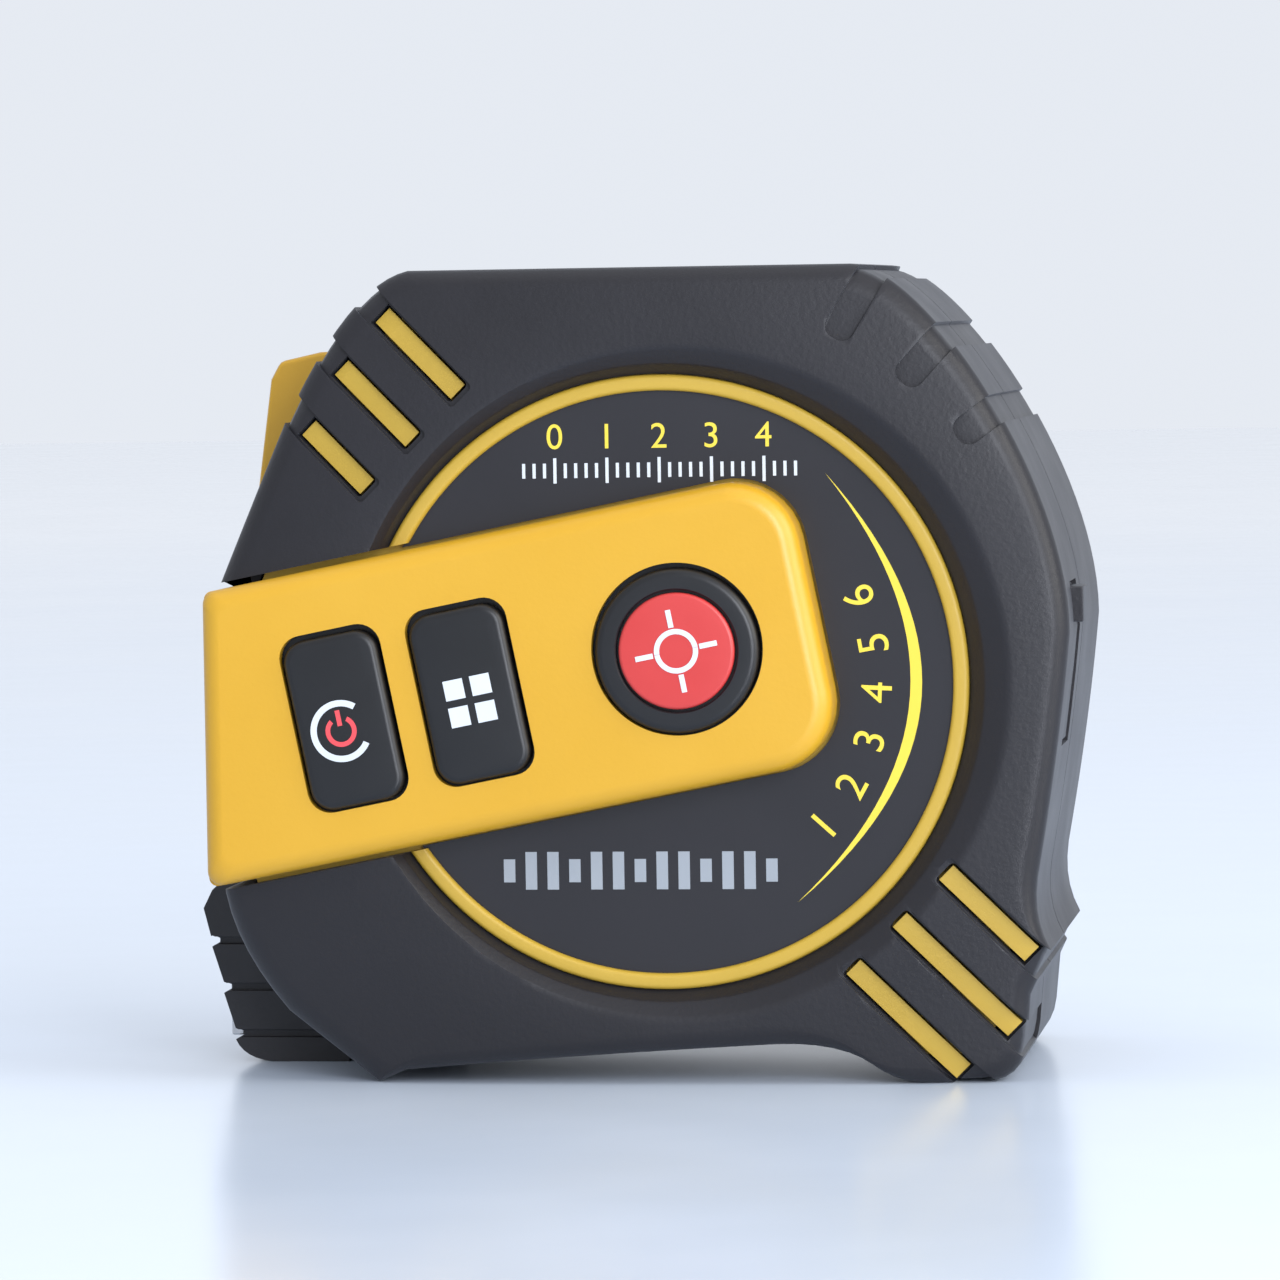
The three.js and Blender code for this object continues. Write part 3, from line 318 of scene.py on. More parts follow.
def skin(loops, ring=False):
    """A closed body through loops of equally many points, capped, or bridged into a ring."""
    bm = bmesh.new()
    first = [bm.verts.new(place) for place in loops[0]]
    for pair in zip(first, first[1:] + first[:1]):
        bm.edges.new(pair)
    last = first
    for places in loops[1:]:
        last = draw_out(bm, last, places)
    if ring:
        rims = [bm.edges.get(pair) for loop in (first, last) for pair in zip(loop, loop[1:] + loop[:1])]
        bmesh.ops.bridge_loops(bm, edges=rims)
    else:
        bm.faces.new(first)
        bm.faces.new(last)
    bmesh.ops.recalc_face_normals(bm, faces=bm.faces)
    return bm


def prism(outline, y0, y1):
    """A solid between two values of Y, from an outline of (x, z) points."""
    return skin([[Vector((x, y, z)) for x, z in outline] for y in (y0, y1)])


def block(x0, x1, y0, y1, z0, z1):
    """A plain box, for cutting."""
    return prism([(x0, z0), (x1, z0), (x1, z1), (x0, z1)], y0, y1)


def as_object(bm, name):
    """Makes a mesh object, in metres, from a shape drawn in millimetres."""
    bmesh.ops.scale(bm, vec=(0.001, 0.001, 0.001), verts=bm.verts)
    mesh = bpy.data.meshes.new(name)
    bm.to_mesh(mesh)
    bm.free()
    thing = bpy.data.objects.new(name, mesh)
    bpy.context.collection.objects.link(thing)
    return thing


def apply_modifiers(thing):
    """Puts what the modifiers show into the mesh, and takes the modifiers off."""
    shown = thing.evaluated_get(bpy.context.evaluated_depsgraph_get())
    mesh = bpy.data.meshes.new_from_object(shown)
    thing.modifiers.clear()
    thing.data = mesh


def combine(thing, shapes, operation="DIFFERENCE"):
    """Cuts shapes from an object, or joins them to it, one after another."""
    for shape in shapes:
        tool = as_object(shape, "tool") if isinstance(shape, bmesh.types.BMesh) else shape
        boolean = thing.modifiers.new("cut", "BOOLEAN")
        boolean.operation = operation
        boolean.solver = "EXACT"
        boolean.object = tool
        apply_modifiers(thing)
        bpy.data.objects.remove(tool)
    return thing


def settle(thing, sharp_degrees=34, soften_mm=0.0, dissolve=False):
    """Welds a mesh, may round its sharp edges, and shades it smooth up to an angle."""
    bm = bmesh.new()
    bm.from_mesh(thing.data)
    bmesh.ops.remove_doubles(bm, verts=bm.verts, dist=2e-6)
    if dissolve:
        bmesh.ops.dissolve_limit(bm, angle_limit=math.radians(1), verts=bm.verts, edges=bm.edges)
    if soften_mm:
        sharp = [edge for edge in bm.edges
                 if len(edge.link_faces) == 2 and edge.calc_face_angle() > math.radians(sharp_degrees)]
        bmesh.ops.bevel(bm, geom=sharp, offset=soften_mm / 1000, segments=2, profile=0.5,
                        affect="EDGES", material=-1, clamp_overlap=True)
    bmesh.ops.dissolve_degenerate(bm, edges=bm.edges, dist=1e-7)
    bm.to_mesh(thing.data)
    bm.free()
    thing.data.polygons.foreach_set("use_smooth", [True] * len(thing.data.polygons))
    thing.data.set_sharp_from_angle(angle=math.radians(sharp_degrees))
    if soften_mm:
        flat_first = thing.modifiers.new("flat faces first", "WEIGHTED_NORMAL")
        flat_first.keep_sharp = True
    return thing


def publish(thing, name, body, slot, material, *nodes):
    """Names a piece, gives it its finish, hangs it on the body it moves with, and hides the imported pieces
    that it stands for.
    """
    thing.name = name
    thing.data.materials.clear()
    thing.data.materials.append(material)
    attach(thing, body)
    if nodes:
        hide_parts(*nodes)
    print(name, "faces:", len(thing.data.polygons))
    return thing


# %% [markdown]
# ## The case outline
#
# The side view of the case is one smooth line of straights and curves. It is written as a formula of
# an inset, so that the rubber's outer wall, its rounded shoulder and its inner wall all come from the
# same line and have equally many points.

# %% Case outline
dome_drop, dome_from, dome_to = 3.2, 32.3, 52.0


def curve(points, steps):
    """Points along a Bezier curve through any number of control points, without its start."""
    made = []
    for step in range(1, steps + 1):
        part = step / steps
        row = [Vector(point) for point in points]
        while len(row) > 1:
            row = [a.lerp(b, part) for a, b in zip(row, row[1:])]
        made.append(row[0])
    return made


def case_outline(inset=0.0):
    """The rubber's side view, drawn smaller by an inset, from the foot of the front diagonal."""
    f, r, top, floor = front_x + inset, rear_x - inset, top_z - inset, inset
    stretches = [
        (2, [(f + 17.6, floor + 1.2)]),
        (16, [(f + 35.5, floor + 2.9), (r - 28.2, floor + 3.8)]),
        (6, [(r - 22.0, floor + 4.0), (r - 19.0, floor + 1.7)]),
        (5, [(r - 16.8, floor), (r - 14.3, floor)]),
        (3, [(r - 9.0, floor)]),
        (6, [(r - 5.0, floor), (r - 4.6, floor + 4.0)]),
        (3, [(r - 4.2, floor + 8.4)]),
        (3, [(r - 2.2, floor + 12.6)]),
        (5, [(r - 3.9, floor + 15.6), (r - 3.3, floor + 19.6)]),
        (14, [(r - 1.0, dial_z - 6), (r, dial_z + 4.5)]),
        (28, [(r, dial_z + 18.8), (r - 13.4, top - 0.3), (r - 20.3, top)]),
        (16, [(f + 19.0, top)]),
        (12, [(f + 13.2, top - 1.2), (f + 6.9, top - 14.4)]),
        (8, [(f, top - 30.5)]),
        (10, [(f, floor + 20)]),
        (7, [(f + 0.4, floor + 13.5), (f + 6.2, floor + 6.8)]),
        (6, [(f + 14.9, floor)]),
    ]
    here = Vector((f + 14.9, floor))
    points = []
    for steps, controls in stretches:
        points += curve([here] + controls, steps)
        here = points[-1]
    return points


def dome(x, z):
    """How far the rubber's face has fallen at a place."""
    away = math.hypot(x - dial_x, z - dial_z)
    part = max(0.0, (away - dome_from) / (dome_to - dome_from))
    return dome_drop * part ** 1.47


def from_dial(point, radius):
    """The point at a radius from the dial's axis, in the direction of another point."""
    away = Vector((point[0] - dial_x, point[1] - dial_z)).normalized()
    return dial_x + away.x * radius, dial_z + away.y * radius


print("outline points:", len(case_outline()))

# %% [markdown]
# ## Rubber grips
#
# Each grip is moulded round its shell in a second shot of soft rubber. Its side wall turns over a
# rounded shoulder into a slightly domed face, which falls into a funnel around the dial. The funnel
# is wider towards the rear, where the thumb comes in. The skin follows that section all the way round,
# and the slots and thumb grooves are cut afterwards.

# %% Grip skin
shoulder = 1.7
funnel_steps = ((1.0, 0.05), (0.9, 0.2), (0.45, 0.8), (0.36, 1.1), (0.05, 2.3), (0.0, 2.6))


def lip_width(point):
    """The funnel's width in the direction of a point: wider towards the rear."""
    away = Vector((point[0] - dial_x, point[1] - dial_z)).normalized()
    return 2.4 + 1.4 * away.x


def grip_skin(face, towards, rim, shell):
    """One half's rubber. The face looks away from the rim; shell is the face that it lies on."""
    outer = case_outline()

    def level(inset, drop):
        return [Vector((x, face + towards * (dome(x, z) + drop), z)) for x, z in case_outline(inset)]

    loops = [[Vector((x, rim, z)) for x, z in outer]]
    for turn in range(0, 91, 15):
        angle = math.radians(turn)
        loops.append(level(shoulder * (1 - math.cos(angle)), shoulder * (1 - math.sin(angle))))
    inner = case_outline(shoulder)
    lip = [from_dial(point, dial_radius + lip_width(point) + 0.5) for point in inner]
    for part in (0.2, 0.4, 0.6, 0.8, 1.0):
        ring = [(a[0] + (b[0] - a[0]) * part, a[1] + (b[1] - a[1]) * part) for a, b in zip(inner, lip)]
        loops.append([Vector((x, face + towards * dome(x, z), z)) for x, z in ring])
    for part, depth in funnel_steps:
        ring = [from_dial(point, dial_radius + lip_width(point) * part) for point in inner]
        loops.append([Vector((x, face + towards * depth, z)) for x, z in ring])
    under = shell - towards * 0.3
    loops.append([Vector((x, under, z)) for x, z in (from_dial(point, dial_radius) for point in inner)])
    loops.append([Vector((x, under, z)) for x, z in case_outline(grip_wall)])
    loops.append([Vector((x, rim, z)) for x, z in case_outline(grip_wall)])
    return skin(loops, ring=True)


control_grip = as_object(grip_skin(near_y, 1, near_back, shell_near), "control_grip_skin")
tape_grip = as_object(grip_skin(far_y, -1, far_back, shell_far), "tape_grip_skin")
print("grip faces:", len(control_grip.data.polygons))

# %% [markdown]
# ## Control cover outline
#
# The cover lies across the face at the angle of the three keys. Its outline is four straight lines
# with rounded corners, and it is used three times: for the cover, for the seam that is open around it,
# and for the end of the yellow ring.

# %% Cover outline
cover_top, cover_bottom = 14.4, 13.3
cover_end_after = 13.3
key_sag = 0.15


def middle_of(node):
    """The middle of a node's box, in X and Z."""
    low, high = box(node)
    return Vector(((low.x + high.x) / 2, (low.z + high.z) / 2))


power_at, function_at, measure_at = [middle_of(name + "_button") for name in ("power", "function", "measure")]
along_keys = (measure_at - power_at).normalized()
across_keys = Vector((-along_keys.y, along_keys.x))
lean = math.atan2(along_keys.y, along_keys.x)


def on_cover(along, across):
    """A place on the cover, from the measure key, along and across the line of the keys."""
    return measure_at + along_keys * along + across_keys * (across + key_sag)


def cover_edge_at(x, across):
    """A place on one of the cover's long edges, at a value of X."""
    base = on_cover(0, across)
    return base + along_keys * ((x - base.x) / along_keys.x)


def rounded(corners, radii, steps=6):
    """An outline with its corners rounded, each by its own radius."""
    points = []
    befores, afters = corners[-1:] + corners[:-1], corners[1:] + corners[:1]
    for here, before, after, radius in zip(corners, befores, afters, radii):
        here, before, after = Vector(here), Vector(before), Vector(after)
        if not radius:
            points.append(here)
            continue
        one, two = (before - here).normalized(), (after - here).normalized()
        half = one.angle(two) / 2
        centre = here + (one + two).normalized() * (radius / math.sin(half))
        start = here + one * (radius / math.tan(half)) - centre
        end = here + two * (radius / math.tan(half)) - centre
        swing = math.atan2(start.cross(end), start.dot(end))
        for step in range(steps + 1):
            angle = swing * step / steps
            points.append(centre + Vector((start.x * math.cos(angle) - start.y * math.sin(angle),
                                           start.x * math.sin(angle) + start.y * math.cos(angle))))
    return points


def cover_outline(grow=0.0, front=None, front_radius=1.3):
    """The cover's outline, grown by a clearance."""
    front = cover_low.x - grow if front is None else front
    low, high, end = -cover_bottom - grow, cover_top + grow, cover_end_after + grow
    corners = [cover_edge_at(front, low), on_cover(end, low), on_cover(end, high), cover_edge_at(front, high)]
    return rounded(corners, [front_radius, 6.5 + grow, 6.5 + grow, front_radius], 8)


print("keys lean", round(math.degrees(lean), 2), "degrees")

# %% [markdown]
# ## Slots, grooves and openings
#
# Three slots cross each diagonal corner of the rubber, in shallow grooves that run out over the edge,
# and three thumb grooves fan out over the upper rear corner. A groove follows the rubber at a constant
# depth: its cutter is a straight bar, less the body that lies that deep inside the rubber.

# %% Groove and slot cutters
rib_width, rib_gap, slot_pitch = 1.9, 0.3, 6.3
groove_width, groove_depth, fan_depth, groove_to = 2.9, 0.3, 0.35, 70.0
groove_before = 0.8
upper_from, lower_from, upper_edge, lower_edge = 3.8, 2.5, 2.6, 1.6
fan_angles, fan_from = (60, 48, 36.5), 36.6


def bar_line(degrees, row):
    """Where a bar's line starts, and its direction; a row is a step across the front diagonal."""
    base = Vector((dial_x, dial_z)) + Vector((1, 1)).normalized() * (row * slot_pitch)
    return base, Vector((math.cos(math.radians(degrees)), math.sin(math.radians(degrees))))


def bar_outline(degrees, row, start, end, width, round_start=0.0, shift=0.0):
    """A straight bar that points away from the dial."""
    base, away = bar_line(degrees, row)
    side = Vector((-away.y, away.x))
    corners = [base + away * a + side * (w + shift) for a, w in
               ((start, -width / 2), (end, -width / 2), (end, width / 2), (start, width / 2))]
    return rounded(corners, [round_start, 0.0, 0.0, round_start], 5) if round_start else corners


def reach(degrees, row):
    """How far the case outline lies from the start of a bar."""
    base, away = bar_line(degrees, row)
    points = [point - base for point in case_outline()]
    hits = []
    for a, b in zip(points, points[1:] + points[:1]):
        one, two = away.cross(a), away.cross(b)
        if one * two <= 0 and one != two:
            hits.append(a.lerp(b, one / (one - two)).dot(away))
    return min(hit for hit in hits if hit > 0)


def inner_body(face, towards, rim, depth):
    """The body that lies as deep inside the rubber as a groove is cut."""
    loops = [[Vector((x, rim + towards, z)) for x, z in case_outline(depth)]]
    for turn in (0, 30, 60, 90):
        angle = math.radians(turn)
        inset = depth + shoulder * (1 - math.cos(angle))
        drop = depth + shoulder * (1 - math.sin(angle))
        loops.append([Vector((x, face + towards * (dome(x, z) + drop), z)) for x, z in case_outline(inset)])
    inner = case_outline(depth + shoulder)
    for part in (0.3, 0.6, 0.95):
        ring = [(x + (dial_x - x) * part, z + (dial_z - z) * part) for x, z in inner]
        loops.append([Vector((x, face + towards * (dome(x, z) + depth), z)) for x, z in ring])
    return skin(loops)


def groove_cutters(rows, face, towards, rim):
    """The shallow grooves of one half."""
    bars = [(bar_outline(degrees, 0, fan_from, groove_to, groove_width, 1.2, groove_width / 2), fan_depth)
            for degrees in fan_angles]
    bars += [(bar_outline(degrees, row, dial_radius + start - groove_before, groove_to, groove_width, 0.5),
              groove_depth)
             for row in rows for degrees, start in ((135, upper_from), (-45, lower_from))]
    y0, y1 = sorted((face - towards, rim + towards * 0.5))
    return [combine(as_object(prism(outline, y0, y1), "groove"), [inner_body(face, towards, rim, depth)])
            for outline, depth in bars]


def slot_cutters(rows, y0, y1):
    """The slots of one half, each with a gap all round the yellow rib that stands in it."""
    ends = ((135, upper_from, upper_edge), (-45, lower_from, lower_edge))
    return [prism(bar_outline(degrees, row, dial_radius + start - rib_gap,
                              reach(degrees, row) - edge + rib_gap, rib_width + 2 * rib_gap, 0.45), y0, y1)
            for row in rows for degrees, start, edge in ends]


print("the case's edge is", round(reach(135, 0), 1), "mm from the dial's axis on the upper diagonal")

# %% Cut the control side's rubber
seam = 0.6
window_low, window_high = box("display_window")
flap_low, flap_high = box("port_cover")
plate_height = 15.0
plate_high_z = flap_low.z + plate_height
front_opening = [cover_edge_at(x, across) for x, across in (
    (front_x - 6, -cover_bottom - seam), (front_x + 3, -cover_bottom - seam),
    (front_x + 3, cover_top + seam), (front_x - 6, cover_top + seam))]
combine(control_grip, [
    prism(cover_outline(seam, front_x - 6), near_y - 2, shell_near + 1),
    prism(front_opening, near_y, cover_high.y + 0.6),
] + slot_cutters((-1, 0, 1), near_y - 1, shell_near + 1)
  + groove_cutters((-1, 0, 1), near_y, 1, near_back)
  + [block(window_low.x - clearance, window_high.x + clearance,
           window_low.y - clearance, window_high.y + clearance, top_z - grip_wall - 3, top_z + 1),
     block(rear_x - grip_wall - 2, rear_x + 2, flap_low.y - clearance, flap_high.y + clearance,
           flap_low.z - clearance, plate_high_z + clearance)])
grip_soften = 0.14
settle(control_grip, soften_mm=grip_soften)
publish(control_grip, "control_grip_rubber", "case", "grip_rubber", grip_rubber, "control_grip")

# %% [markdown]
# The tape side's rubber has the same section and only two slots on each corner, because a case screw
# sits between them. It is cut back for the nose guard, and a channel lets the thumb lock slide.

# %% Cut the tape side's rubber
nose_low, nose_high = box("nose_guard")
lock_low, lock_high = box("lock_slider")
slope_foot = Vector((front_x + grip_wall + 0.3, top_z - grip_wall - 0.3 - 30.5))
slope_along = Vector((6.9, 30.5 - 14.4)).normalized()
slope_out = Vector((-slope_along.y, slope_along.x))


def on_slope(along, out):
    """A place on the front slope, along it from its foot and out from the shell."""
    return slope_foot + slope_along * along + slope_out * out


lock_start, lock_end, lock_stroke = -2.5, 25.2, 5.0
lock_channel = prism([on_slope(*place) for place in (
    (lock_start - lock_stroke - 1.2, -0.2), (lock_end + 1, -0.2), (lock_end + 1, 16),
    (lock_start - lock_stroke - 1.2, 16))], lock_low.y - 0.6, lock_high.y + 0.6)


hole_radius = 3.2


def screw_hole(number):
    """The round hole over a case screw."""
    low, high = box("case_screw_%d" % number)
    bm = bmesh.new()
    bmesh.ops.create_cone(bm, cap_ends=True, segments=40, radius1=hole_radius, radius2=hole_radius, depth=12,
                          matrix=Matrix.Translation(((low.x + high.x) / 2, far_y - 1, (low.z + high.z) / 2))
                          @ Matrix.Rotation(math.pi / 2, 4, "X"))
    return bm


combine(tape_grip, slot_cutters((-1, 1), shell_far - 1, far_y + 1)
        + groove_cutters((-1, 1), far_y, -1, far_back)
        + [lock_channel,
           block(front_x - 8, nose_high.x + clearance, far_back - 1, far_y + 1,
                 -1, nose_high.z + clearance)]
        + [screw_hole(number) for number in (1, 2, 3, 4)])
settle(tape_grip, soften_mm=grip_soften)
publish(tape_grip, "tape_grip_rubber", "case", "grip_rubber", grip_rubber, "tape_grip")

# %% [markdown]
# ## Control cover
#
# The cover is a yellow moulding that stands proud of the rubber. Its edges are rounded by almost two
# millimetres, which is what makes it look soft and thick. The loops of its skin run up the side wall
# and over that rounding, then the face is capped and the openings for the keys are cut.

# %% Control cover
cover_edge = 1.9
cover_face, cover_back = cover_low.y, shell_near - 0.3
cover_wall, cover_plate = 1.8, 1.4


def pillow(outline_at, face, base, edge, steps=6):
    """A plate with a rounded edge towards -Y, from an outline that can be grown or shrunk."""
    loops = [[Vector((x, base, z)) for x, z in outline_at(0)]]
    for step in range(steps + 1):
        angle = math.radians(90 * step / steps)
        y = face + edge * (1 - math.sin(angle))
        loops.append([Vector((x, y, z)) for x, z in outline_at(-edge * (1 - math.cos(angle)))])
    return skin(loops)


def key_outline(place, width, height, radius):
    """A rounded rectangle that leans with the cover."""
    corners = [place + along_keys * (a * width / 2) + across_keys * (b * height / 2)
               for a, b in ((-1, -1), (1, -1), (1, 1), (-1, 1))]
    return rounded(corners, [radius] * 4, 7)


def disc_outline(place, radius, sides=96):
    """A circle as an outline."""
    return [place + Vector((math.cos(math.tau * k / sides), math.sin(math.tau * k / sides))) * radius
            for k in range(sides)]


key_width, key_height, key_radius = 9.2, 16.4, 2.2
measure_radius = 7.8
key_gap = 0.35
lift = across_keys * key_sag
front_low, front_high = box("front_window")
front_depth = front_x + grip_wall
window_ledge = 0.9
control_cover = as_object(pillow(cover_outline, cover_face, cover_back, cover_edge), "cover")
wrap = [cover_edge_at(cover_low.x, -cover_bottom), cover_edge_at(front_depth, -cover_bottom),
        cover_edge_at(front_depth, cover_top), cover_edge_at(cover_low.x, cover_top)]
combine(control_cover, [prism(rounded(wrap, [0.8, 0, 0, 0.8], 5), cover_face + cover_edge + 0.4,
                              cover_high.y)], "UNION")
key_holes = [key_outline(place + lift, key_width + 2 * key_gap, key_height + 2 * key_gap, key_radius)
             for place in (power_at, function_at)]
key_holes.append(disc_outline(measure_at + lift, measure_radius + key_gap))
combine(control_cover, [
    prism(cover_outline(-cover_wall, front_x + 2.6), cover_face + cover_plate, cover_back + 1),
    *[prism(hole, cover_face - 1, cover_face + 3) for hole in key_holes],
    block(front_x - 4, front_depth + 1, front_low.y + window_ledge, front_high.y - window_ledge,
          front_low.z + window_ledge, front_high.z - window_ledge),
    block(front_x - 4, front_high.x + clearance, front_low.y - clearance, front_high.y + clearance,
          front_low.z - clearance, front_high.z + clearance),
])
settle(control_cover, soften_mm=0.12)
publish(control_cover, "control_cover_moulding", "case", "yellow_abs", yellow_abs, "control_cover")

# %% [markdown]
# ## Keys
#
# The two long keys are flat-topped with a small rolled edge, and hang a touch low in their openings.
# The round key is turned in section, with a red cap let into it almost flush. Marks are printed on
# them: thin raised films of ink that travel with the key.

# %% Long keys
key_edge = 0.75


def long_key(name, place):
    """One long key, with the flange that keeps it behind the cover."""
    low, high = box(name + "_button")

    def outline(grow):
        return key_outline(place, key_width + 2 * grow, key_height + 2 * grow, key_radius + grow)

    key = as_object(pillow(outline, low.y, high.y - 0.3, key_edge), name)
    flange = key_outline(place, key_width + 1.8, key_height + 1.8, key_radius)
    combine(key, [prism(flange, high.y - 0.6, high.y)], "UNION")
    settle(key)
    publish(key, name + "_key_cap", name + "_key", "button_black", key_black, name + "_button")
    return low.y


key_face = long_key("power", power_at)
long_key("function", function_at)


# %% [markdown]
# ## Round key
#
# The round key is a turned part: its section is a few points and two quarter arcs, spun once about the
# key's own axis. A lathe would cut it the same way, so every rolled edge is even all the way round.

# %% Round key and its cap
def turned(place, profile, sides=96):
    """A body of revolution about Y, from (radius, y) points that start and end on the axis or close."""
    bm = bmesh.new()
    row = [bm.verts.new((place.x + radius, y, place.y)) for radius, y in profile]
    edges = [bm.edges.new(pair) for pair in zip(row, row[1:])]
    if profile[0][0] > 0:
        edges.append(bm.edges.new((row[-1], row[0])))
    bmesh.ops.spin(bm, geom=row + edges, cent=(place.x, 0, place.y), axis=(0, 1, 0), angle=math.tau,
                   steps=sides, use_merge=True)
    bmesh.ops.remove_doubles(bm, verts=bm.verts, dist=1e-4)
    bmesh.ops.recalc_face_normals(bm, faces=bm.faces)
    return bm


def arc(centre_radius, centre_y, radius, start, end, steps=6):
    """Points of a quarter turn in a section, in (radius, y)."""
    angles = [math.radians(start + (end - start) * step / steps) for step in range(steps + 1)]
    return [(centre_radius + radius * math.cos(a), centre_y + radius * math.sin(a)) for a in angles]


button_low, button_high = box("measure_button")
cap_low, cap_high = box("measure_cap")
cap_radius = (cap_high.x - cap_low.x) / 2
roll = 0.8
round_key = as_object(turned(measure_at, [
    (0, button_low.y + 0.9), (cap_radius + 0.25, button_low.y + 0.9),
    (cap_radius + 0.25, button_low.y + 0.15), (cap_radius + 0.4, button_low.y)]
    + arc(measure_radius - roll, button_low.y + roll, roll, -90, 0)
    + [(measure_radius, button_high.y - 0.6), (measure_radius + 0.9, button_high.y - 0.6),
       (measure_radius + 0.9, button_high.y), (0, button_high.y)]), "round")
publish(settle(round_key), "measure_key_cap", "measure_key", "button_black", key_black, "measure_button")
red_cap = as_object(turned(measure_at, [(0, cap_low.y), (cap_radius * 0.6, cap_low.y + 0.01)]
                           + arc(cap_radius - 0.35, cap_low.y + 0.35, 0.35, -90, 0)
                           + [(cap_radius, cap_high.y), (0, cap_high.y)]), "cap")
publish(settle(red_cap), "measure_red_cap", "measure_key", "button_red", key_red, "measure_cap")

# %% [markdown]
# ## Printed marks
#
# Ink is about a hundredth of a millimetre thick, and a real print still has an edge. Each mark here is a
# plate four hundredths high, so that the edge shows, and it is sunk a little into its surface. The marks
# are plain signs: an open arc and a standby sign, four squares, and a sighting cross.

# %% Marks on the keys
ink_height, ink_sunk = 0.04, 0.02


def ring_sector(place, inner, outer, start, end, steps=40):
    """Part of a flat ring between two angles in degrees, which lean with the cover."""
    angles = [math.radians(start + (end - start) * step / steps) + lean for step in range(steps + 1)]
    far = [place + Vector((math.cos(a), math.sin(a))) * outer for a in angles]
    near = [place + Vector((math.cos(a), math.sin(a))) * inner for a in reversed(angles)]
    return far + near


def leaning_bar(place, along, across, width, height):
    """A small rectangle on the cover's slant, at an offset from a place."""
    middle = place + along_keys * along + across_keys * across
    return [middle + along_keys * (a * width / 2) + across_keys * (b * height / 2)
            for a, b in ((-1, -1), (1, -1), (1, 1), (-1, 1))]


def print_marks(name, outlines, face, body, slot, ink, towards=-1):
    """Thin plates of ink on a face that looks towards -Y or +Y, as one piece."""
    bm = bmesh.new()
    for outline in outlines:
        row = [bm.verts.new((x, face - towards * ink_sunk, z)) for x, z in outline]
        plate = bm.faces.new(row)
        raised = bmesh.ops.extrude_face_region(bm, geom=[plate])["geom"]
        bmesh.ops.translate(bm, vec=(0, towards * (ink_height + ink_sunk), 0),
                            verts=[part for part in raised if isinstance(part, bmesh.types.BMVert)])
    bmesh.ops.recalc_face_normals(bm, faces=bm.faces)
    marks = as_object(bm, name)
    return publish(marks, name, body, slot, ink)


power_mark = power_at + Vector((-0.2, -1.0))
print_marks("power_mark_arc", [ring_sector(power_mark, 2.35, 2.95, 50, 325)], key_face, "power_key",
            "label_film", white_ink)
print_marks("power_mark_standby",
            [ring_sector(power_mark, 1.05, 1.5, 125, 415), leaning_bar(power_mark, 0, 1.25, 0.45, 1.5)],
            key_face, "power_key", "button_red", red_ink)
print_marks("function_mark", [leaning_bar(function_at, a, b - 0.6, 1.9, 1.9)
                              for a in (-1.3, 1.3) for b in (-1.3, 1.3)],
            key_face, "function_key", "label_film", white_ink)
cross = [leaning_bar(measure_at, a * 3.1, b * 3.1, 1.7 if a else 0.5, 0.5 if a else 1.7)
         for a, b in ((1, 0), (-1, 0), (0, 1), (0, -1))]
sight = [ring_sector(measure_at, 1.6, 2.1, start, start + 179) for start in (0, 180)]
print_marks("measure_mark", sight + cross, cap_low.y + 0.01, "measure_key", "label_film", white_ink)

# %% [markdown]
# ## Dial ring
#
# A yellow bead of the shell stands around the label. It is turned in section with a rounded crown, and
# ends where the cover crosses it.

# %% Dial ring
ring_low = label_radius - 0.4
ring_high = dial_radius - 0.08
ring_crown = label_low.y - 0.75
ring_roll = 0.45
dial_ring = as_object(turned(Vector((dial_x, dial_z)), [(ring_low, label_low.y - 0.02)]
                             + arc(ring_low + ring_roll, ring_crown + ring_roll, ring_roll, 190, 270, 5)
                             + arc(ring_high - ring_roll, ring_crown + ring_roll, ring_roll, 270, 360, 5)
                             + [(ring_high, shell_near - 0.02)]
                             + [(label_radius + 0.2, shell_near - 0.02),
                                (label_radius + 0.2, label_low.y - 0.02)], 180), "ring")
combine(dial_ring, [prism(cover_outline(seam, front_x - 6), near_y, shell_near + 2)])
# The ring takes the shells' darker yellow, whose darkness is painted shade.
publish(settle(dial_ring, 50), "dial_ring", "case", "yellow_abs", shaded_shell_abs)

# %% [markdown]
# ## Pressed, turned and moulded parts
#
# The remaining shapes are right as they are, but no pressed or moulded edge is perfectly sharp. Each of
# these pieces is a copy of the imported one, welded, with its flat faces made whole and its edges
# rounded by a few tenths, so that they catch a line of light.


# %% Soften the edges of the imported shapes
def copied(node):
    """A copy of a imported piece, to work on."""
    copy = bpy.data.objects.new(node + "_copy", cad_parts[node].data.copy())
    bpy.context.collection.objects.link(copy)
    return settle(copy)


def softened(node, body, slot, material, edge_mm):
    """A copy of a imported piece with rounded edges, which stands for it."""
    copy = settle(copied(node), 28, edge_mm, dissolve=True)
    return publish(copy, node + "_finished", body, slot, material, node)


softened("lock_slider", "lock", "yellow_abs", yellow_abs, 0.5)
softened("port_cover", "port_flap", "grip_rubber", grip_rubber, 0.3)
softened("belt_clip", "case", "steel", plated_steel, 0.25)
softened("end_hook", "hook", "steel", plated_steel, 0.15)
softened("front_window", "case", "optics", window_plastic, 0.15)
softened("display_window", "case", "optics", window_plastic, 0.15)

# %% [markdown]
# ## Nose guard
#
# The guard around the tape mouth is ribbed for the thumb. Its grooves cross the front and run on round
# both sides, so that the part still looks ribbed from the control side.

